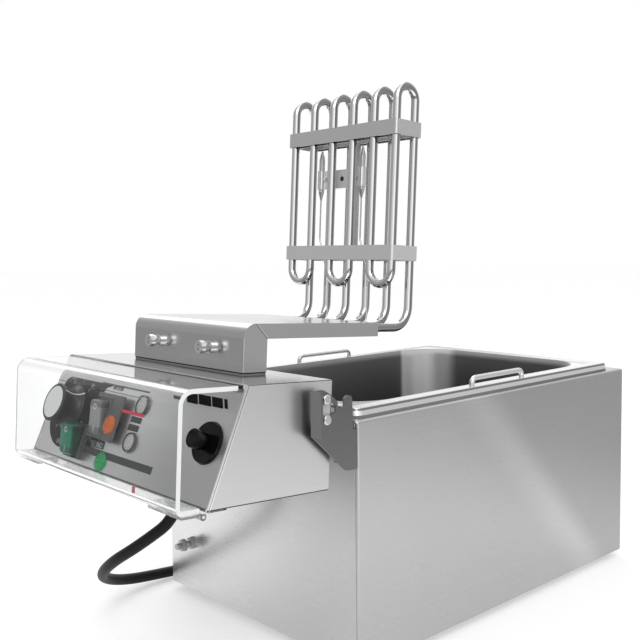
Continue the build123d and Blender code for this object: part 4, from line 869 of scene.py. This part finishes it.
class FRYER_OT_lamps(bpy.types.Operator):
    """Mould the ribbed lamp lenses and their bezels"""

    bl_idname = "fryer.lamps"
    bl_label = "Lamps"

    def lens(self, name, x, s, base, radius, pitch):
        """Ribbed dome: h = base + 1.5 + 1.7 (1 - (r/R)^3) + 0.3 cos(2 pi s / pitch), rim turned down."""
        rho = column(1.0, 1.0, *np.linspace(0.995, 0.0, 44))
        a = full_turn(96)
        dx, ds = radius * rho * np.cos(a), radius * rho * np.sin(a)
        rib = 0.3 * np.cos(2 * np.pi * ds / pitch) * np.clip((1 - rho) * 9, 0, 1)
        h = base + 1.5 + 1.7 * (1 - rho**3) + rib
        h[0] = base
        return grid_piece(name, on_panel(x + dx, s + ds, h))

    def tint_with_rib_light(self, name, tone, pitch, s, depth):
        """Tinted plastic with painted highlights on the rib crests and painted shade between the ribs."""
        p = Paint(name)
        down = p.along(p.here(), S_DIR) * 1000.0 - float(PANEL_TOP @ S_DIR) - s
        # painted highlight on the rib crests, painted shade in the grooves
        rib = p.math("COSINE", down * (2 * math.pi / pitch))
        return p.set(
            Base_Color=p.shade(tone, 1.0 - depth + rib * depth),
            Roughness=0.24 - rib * 0.05,
            Coat_Weight=0.15, Coat_Roughness=0.1, Specular_IOR_Level=0.25,
        )

    def execute(self, context):
        pitch = context.scene.fryer_sizes.rib * 1000
        orange = self.tint_with_rib_light("lens_orange", context.scene.fryer_colours.orange, pitch, 53.6, 0.30)
        green = self.tint_with_rib_light("lens_green", (0.006, 0.40, 0.11), pitch, 84.2, 0.20)
        clear = self.tint_with_rib_light("lens_clear", (0.56, 0.56, 0.55), pitch, 31.6, 0.14)
        for name, x, s, base, radius, paint, slot, node in (
            ("lamp_orange", 13.0, 53.6, 6.4, 7.8, orange, "orange_lens", "orange_lens"),
            ("lamp_green", 17.8, 84.2, 0.0, 7.75, green, "green_lens", "green_lens"),
            ("lamp_upper", -16.0, 31.6, 0.0, 6.9, clear, "clear_lens", "clear_lenses"),
            ("lamp_lower", -16.0, 62.4, 0.0, 6.9, clear, "clear_lens", "clear_lenses"),
        ):
            lamp = dress(self.lens(name, x, s, base, radius, pitch), paint, "head", slot)
            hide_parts(node)
        dress_nodes(moulded("bezel_dark", (0.06, 0.06, 0.062), 0.3), "lamp_bezels")
        return {"FINISHED"}


class FRYER_OT_reset(bpy.types.Operator):
    """Finish the reset button, its collar and the parts inside the head"""

    bl_idname = "fryer.reset"
    bl_label = "Reset and inner parts"

    def execute(self, context):
        glossy = moulded("reset_black", grey(0.003), 0.16, 900.0, 0.00001, sheen=0.16)
        dress_nodes(glossy, "reset_button", "reset_collar")
        inner = moulded("inner_black", grey(0.03), 0.5)
        dress_nodes(inner, "thermostat_body", "limiter_body", "cord_gland")
        dress_nodes(moulded("steatite", (0.80, 0.78, 0.73), 0.5), "terminal_block")
        return {"FINISHED"}


class FRYER_OT_cover(bpy.types.Operator):
    """Make the bent cover clear, with bright sawn edges and two red strokes"""

    bl_idname = "fryer.cover"
    bl_label = "Clear cover"

    def clear_sheet(self):
        """Clear sheet with fine scuffs and pale sawn ends, which casts hardly any shadow."""
        p = Paint("clear_sheet")
        scuff = p.step(p.noise((90, 90, 90), 4.0, 0.7), 0.6, 0.9)
        p.set(Base_Color=(0.985, 0.99, 0.99), Roughness=0.015 + scuff * 0.03,
              IOR=1.49, Transmission_Weight=1.0)
        end = p.step(abs(p.part(p.here(), 0)), 0.13235, 0.13245)
        pale = {"Base Color": (0.93, 0.94, 0.94), "Roughness": 0.45}
        sawn = p.node("BsdfPrincipled", 0, None, pale)
        bare = p.node("BsdfTransparent", 0, None, {"Color": (0.92, 0.93, 0.93)})
        joined = Wire(p, p.shader.outputs[0])
        for share, other in ((end, sawn), (p.ray("Shadow", "Diffuse"), bare)):
            joined = p.node("MixShader", 0, None, {0: share, 1: joined, 2: other})
        p.plug(p.tree.nodes["Material Output"].inputs["Surface"], joined)
        return p.material

    def execute(self, context):
        dress_nodes(self.clear_sheet(), "splash_cover")
        leaf = Paint("hinge_clear").set(
            Base_Color=(0.96, 0.965, 0.965), Roughness=0.12, IOR=1.18, Transmission_Weight=0.9)
        dress_nodes(leaf, "hinge_leaves", "cover_leaves")
        dress_nodes(bright_steel("pin_steel", grey(0.7), 0.2), "cover_pins")
        red = moulded("stroke_red", (0.50, 0.05, 0.07), 0.4)
        x, w = np.meshgrid(np.linspace(-57, -88, 9), [4.1, 6.6])
        t, d = np.meshgrid(np.linspace(0, 1, 9), [-1.2, 1.2])
        for name, points in (
            ("cover_stroke", in_head(x, 127.33, w)),
            ("cover_foot_stroke", in_head(-48.1 - 20.9 * t + 0.51 * d, 108.6 + 12.4 * t + 0.86 * d, -55.68)),
        ):
            dress(grid_piece(name, points, wrap=False, smooth=False), red, "cover", "clear_cover")
        return {"FINISHED"}


class FRYER_OT_fasteners(bpy.types.Operator):
    """Finish screws, rivets, studs, pads and feet"""

    bl_idname = "fryer.fasteners"
    bl_label = "Fasteners and feet"

    def turned(self, name, x, w, radius, u, angle):
        """Rings of a radius each, set along U round (x, w): x + r cos a, w - r sin a."""
        points = in_head(x + radius * np.cos(angle), u, w - radius * np.sin(angle))
        return grid_piece(name, points, cap=True, smooth=False)

    def nut(self, name, x):
        """Six-sided nut round a hood stud, with a chamfer at each end."""
        radius = column(3.6, 4.1, 4.6, 4.6, 4.1, 3.6)
        u = HOOD_REAR + column(3.7, 3.7, 4.3, 7.6, 8.2, 8.2)
        return self.turned(name, x, 49.9, radius, u, full_turn(6) + math.radians(30))

    def plug(self, name):
        """Dark disc that closes the clip's middle hole from the far side, painted shade seen through the
        hole.
        """
        u = -162.95 - column(0.7, 0.7, 0.0, 0.0)
        return self.turned(name, 17.0, 213.5, column(0.4, 4.0, 4.0, 0.4), u, full_turn(32))

    def execute(self, context):
        plated = bright_steel("plated_steel", (0.72, 0.72, 0.71), 0.16)
        dress_nodes(plated, "hinge_screws", "stop_screws", "clip_screws", "hood_studs", "bracket_rivets")
        stud = bright_steel("stud_steel", (0.46, 0.455, 0.44), 0.3)
        dress_nodes(stud, "bonding_stud", "bonding_nuts", "plug_pins")
        # dark disc behind the clip's hole: painted shade
        dress(self.plug("clip_plug"), moulded("plug_dark", grey(0.02), 0.6), "head", "dark_silicone")
        for side, label in SIDES:
            dress(self.nut(f"hood_nut_{label}", side * 39.0), plated, "head", "plated_steel")
        dress_nodes(moulded("pad_white", (0.60, 0.60, 0.585), 0.4), "hinge_pads")
        dress_nodes(moulded("foot_rubber", grey(0.02), 0.7), "feet")
        return {"FINISHED"}


class FRYER_OT_cord(bpy.types.Operator):
    """Lay the supply cord from the gland to its coil and plug"""

    bl_idname = "fryer.cord"
    bl_label = "Supply cord"

    low, high = 6.9, 18.5
    coil_x, coil_y, coil_radius, coil_step = 226.0, 10.0, 72.0, 3.0

    def route(self):
        """Points of the cord: lead, then a coil wound in, up one layer, and out again."""
        lead = [
            (29.5, 269.0, 116.0), (65.3, 292.5, 83.1), (104.0, 304.0, 58.0), (141.0, 295.0, 32.0),
            (162.0, 258.0, 13.0), (165.0, 208.0, self.low), (157.5, 159.0, self.low), (155.4, 97.0, self.low),
        ]
        quarter = np.linspace(0, 14, 57)
        climb = np.clip((quarter - 6) / 2, 0, 1)
        inward = np.minimum(quarter, 6) - np.clip(quarter - 8, 0, 6) + np.sin(np.pi * climb)
        radius = self.coil_radius - self.coil_step * inward
        angle = np.pi + quarter * np.pi / 2
        x, y = self.coil_x + radius * np.cos(angle), self.coil_y + radius * np.sin(angle)
        coil = np.stack([x, y, self.low + (self.high - self.low) * climb], 1)
        tail = [(298.0, 21.0, self.high), (298.0, 32.0, self.high)]
        path = np.concatenate([lead, coil, tail]) - [0, SHIFT, 0]
        return np.concatenate([[in_head(27.0, 12.5, -54.5)], path / 1000])

    def line(self, points):
        """Points along one smooth spline that the route's points guide."""
        curve = bpy.data.curves.new("cord_line", "CURVE")
        curve.dimensions = "3D"
        curve.resolution_u = 8
        spline = add_spline(curve, "NURBS", points)
        spline.order_u = 3
        spline.use_endpoint_u = True
        return curve_mesh(curve)[1]

    def tube(self, line, radius):
        """Circle carried along the line, its first direction square to a fixed one."""
        heading = unit(np.gradient(line, axis=0))
        side = np.cross(heading, [0.31, 0.0, 0.95])
        steep = np.linalg.norm(side, axis=1, keepdims=True) < 0.12
        side = unit(np.where(steep, np.cross(heading, [0.0, 1.0, 0.0]), side))
        return carry(line, side, np.cross(side, heading), radius, 20)

    def execute(self, context):
        diameter = context.scene.fryer_sizes.cord
        points = self.route()
        line = self.line(points)
        cord = grid_piece("supply_cord", self.tube(line, diameter / 2), cap=True)
        dress(cord, moulded("cord_rubber", (0.006, 0.006, 0.007), 0.42, 1200.0, sheen=0.2))
        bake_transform(cord)
        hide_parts("cord_lead", "cord_coil")
        dress_nodes(moulded("plug_rubber", (0.018, 0.018, 0.019), 0.45), "plug_body")
        dress_nodes(moulded("tie_black", grey(0.03), 0.5), "cord_tie")
        tuple(line[0])
        return {"FINISHED"}


class FRYER_OT_stage(bpy.types.Operator):
    """Set the pale floor, the soft light and the camera"""

    bl_idname = "fryer.stage"
    bl_label = "Stage"

    def world(self, scene):
        """White surround; metal and clear sheet see two soft grey fields beside the object."""
        scene.world = bpy.data.worlds.new("surround")
        p = Paint("surround", scene.world)
        look = p.here("Generated")
        dark = p.step(p.along(look, (0.70, 0.69, 0.18)), 0.45, 0.98)
        dim = p.step(p.along(look, (-0.70, -0.71, -0.05)), 0.50, 1.0)
        tone = 1.0 - dark * 0.52 - dim * 0.42
        level = 0.78 + p.ray("Camera") * 0.22 + p.ray("Glossy", "Transmission") * (tone - 0.78)
        p.set(Color=p.shade(grey(1.0), level), Strength=1.0)

    def floor(self):
        """Square floor: a grid of x and y at one height just under the feet."""
        x, y = np.meshgrid(np.linspace(-14, 14, 9), np.linspace(-14, 14, 9))
        floor = grid_piece("floor", np.stack([x, y, np.full_like(x, -0.0002)], -1), wrap=False)
        p = Paint("floor_white")
        here = p.here()
        # painted reflection: darker fields that only reflections and the clear sheet see; to the camera the
        # floor glows evenly white
        rear = p.part(here, 1)
        dark = p.step(rear, 0.42, 0.68) - p.step(rear, 1.2, 1.8) * 0.26
        dim = p.step(p.along(here, (-0.45, -0.89, 0)), 0.25, 1.0)
        tone = 1.0 - p.ray("Glossy", "Transmission") * (dark * 0.84 + dim * 0.50)
        seen = p.ray("Glossy", "Transmission", "Camera")
        white = p.set(
            Base_Color=p.shade(grey(0.80), tone),
            Roughness=0.9, Specular_IOR_Level=0.1,
            Emission_Color=p.shade(grey(0.36), seen * tone),
            Emission_Strength=1.0,
        )
        dress(floor, white)

    def lamp(self, name, place, aim, size, power):
        """Soft square lamp that faces a point."""
        light = bpy.data.lights.new(name, "AREA")
        light.size = size
        light.energy = power
        lamp = bpy.data.objects.new(name, light)
        lamp.location = place
        lamp.rotation_euler = (Vector(aim) - Vector(place)).to_track_quat("-Z", "Y").to_euler()
        bpy.context.scene.collection.objects.link(lamp)

    def camera(self, scene):
        """Camera from azimuth, elevation and roll, with focal length and centre in pixels."""
        azimuth, elevation, roll = (math.radians(angle) for angle in (227.52, 4.19, -0.68))
        place = (-0.64164, (703.69 - SHIFT) / 1000, 0.35641)
        pixels, focal, centre_x, centre_y = 640, 880.16, 325.07, 311.96
        right = np.array([math.cos(azimuth), math.sin(azimuth), 0.0])
        level = math.cos(elevation)
        back = np.array([math.sin(azimuth) * level, -math.cos(azimuth) * level, math.sin(elevation)])
        up = np.cross(back, right)
        c, s = math.cos(roll), math.sin(roll)
        turn = np.stack([c * right + s * up, -s * right + c * up, back], 1)
        data = bpy.data.cameras.new("view")
        data.lens = focal * data.sensor_width / pixels
        data.shift_x = (pixels / 2 - centre_x) / pixels
        data.shift_y = (centre_y - pixels / 2) / pixels
        camera = bpy.data.objects.new("view", data)
        camera.matrix_world = Matrix.Translation(place) @ Matrix(turn.tolist()).to_4x4()
        scene.collection.objects.link(camera)
        scene.camera = camera

    def execute(self, context):
        scene = context.scene
        scene.view_settings.view_transform = "Standard"
        self.world(scene)
        self.floor()
        self.lamp("key", (-1.4, 1.3, 1.9), (0, 0.05, 0.2), 1.4, 16)
        self.lamp("fill", (1.5, -0.6, 1.7), (0, 0, 0.2), 1.6, 10)
        self.camera(scene)
        return {"FINISHED"}


class FRYER_PT_panel(bpy.types.Panel):
    """Sizes, colours and steps of the fryer"""

    bl_label = "Fryer"
    bl_space_type = "VIEW_3D"
    bl_region_type = "UI"
    bl_category = "Fryer"

    def draw(self, context):
        for name in FryerSizes.__annotations__:
            self.layout.prop(context.scene.fryer_sizes, name)
        for name in FryerColours.__annotations__:
            self.layout.prop(context.scene.fryer_colours, name)
        for step in STEPS:
            self.layout.operator(step.bl_idname)


STEPS = (
    FRYER_OT_sheet_metal,
    FRYER_OT_tank,
    FRYER_OT_elements,
    FRYER_OT_panel_print,
    FRYER_OT_knob,
    FRYER_OT_switches,
    FRYER_OT_lamps,
    FRYER_OT_reset,
    FRYER_OT_cover,
    FRYER_OT_fasteners,
    FRYER_OT_cord,
    FRYER_OT_stage,
)


def register():
    """Add the classes and the scene's settings."""
    for cls in (FryerSizes, FryerColours, *STEPS, FRYER_PT_panel):
        bpy.utils.register_class(cls)
    bpy.types.Scene.fryer_sizes = bpy.props.PointerProperty(type=FryerSizes)
    bpy.types.Scene.fryer_colours = bpy.props.PointerProperty(type=FryerColours)


def unregister():
    """Remove the scene's settings and the classes."""
    del bpy.types.Scene.fryer_colours
    del bpy.types.Scene.fryer_sizes
    for cls in (FRYER_PT_panel, *reversed(STEPS), FryerColours, FryerSizes):
        bpy.utils.unregister_class(cls)


def main():
    """Run every step."""
    register()
    bpy.ops.fryer.sheet_metal()
    bpy.ops.fryer.tank()
    bpy.ops.fryer.elements()
    bpy.ops.fryer.panel_print()
    bpy.ops.fryer.knob()
    bpy.ops.fryer.switches()
    bpy.ops.fryer.lamps()
    bpy.ops.fryer.reset()
    bpy.ops.fryer.cover()
    bpy.ops.fryer.fasteners()
    bpy.ops.fryer.cord()
    bpy.ops.fryer.stage()


if __name__ == "__main__":
    main()
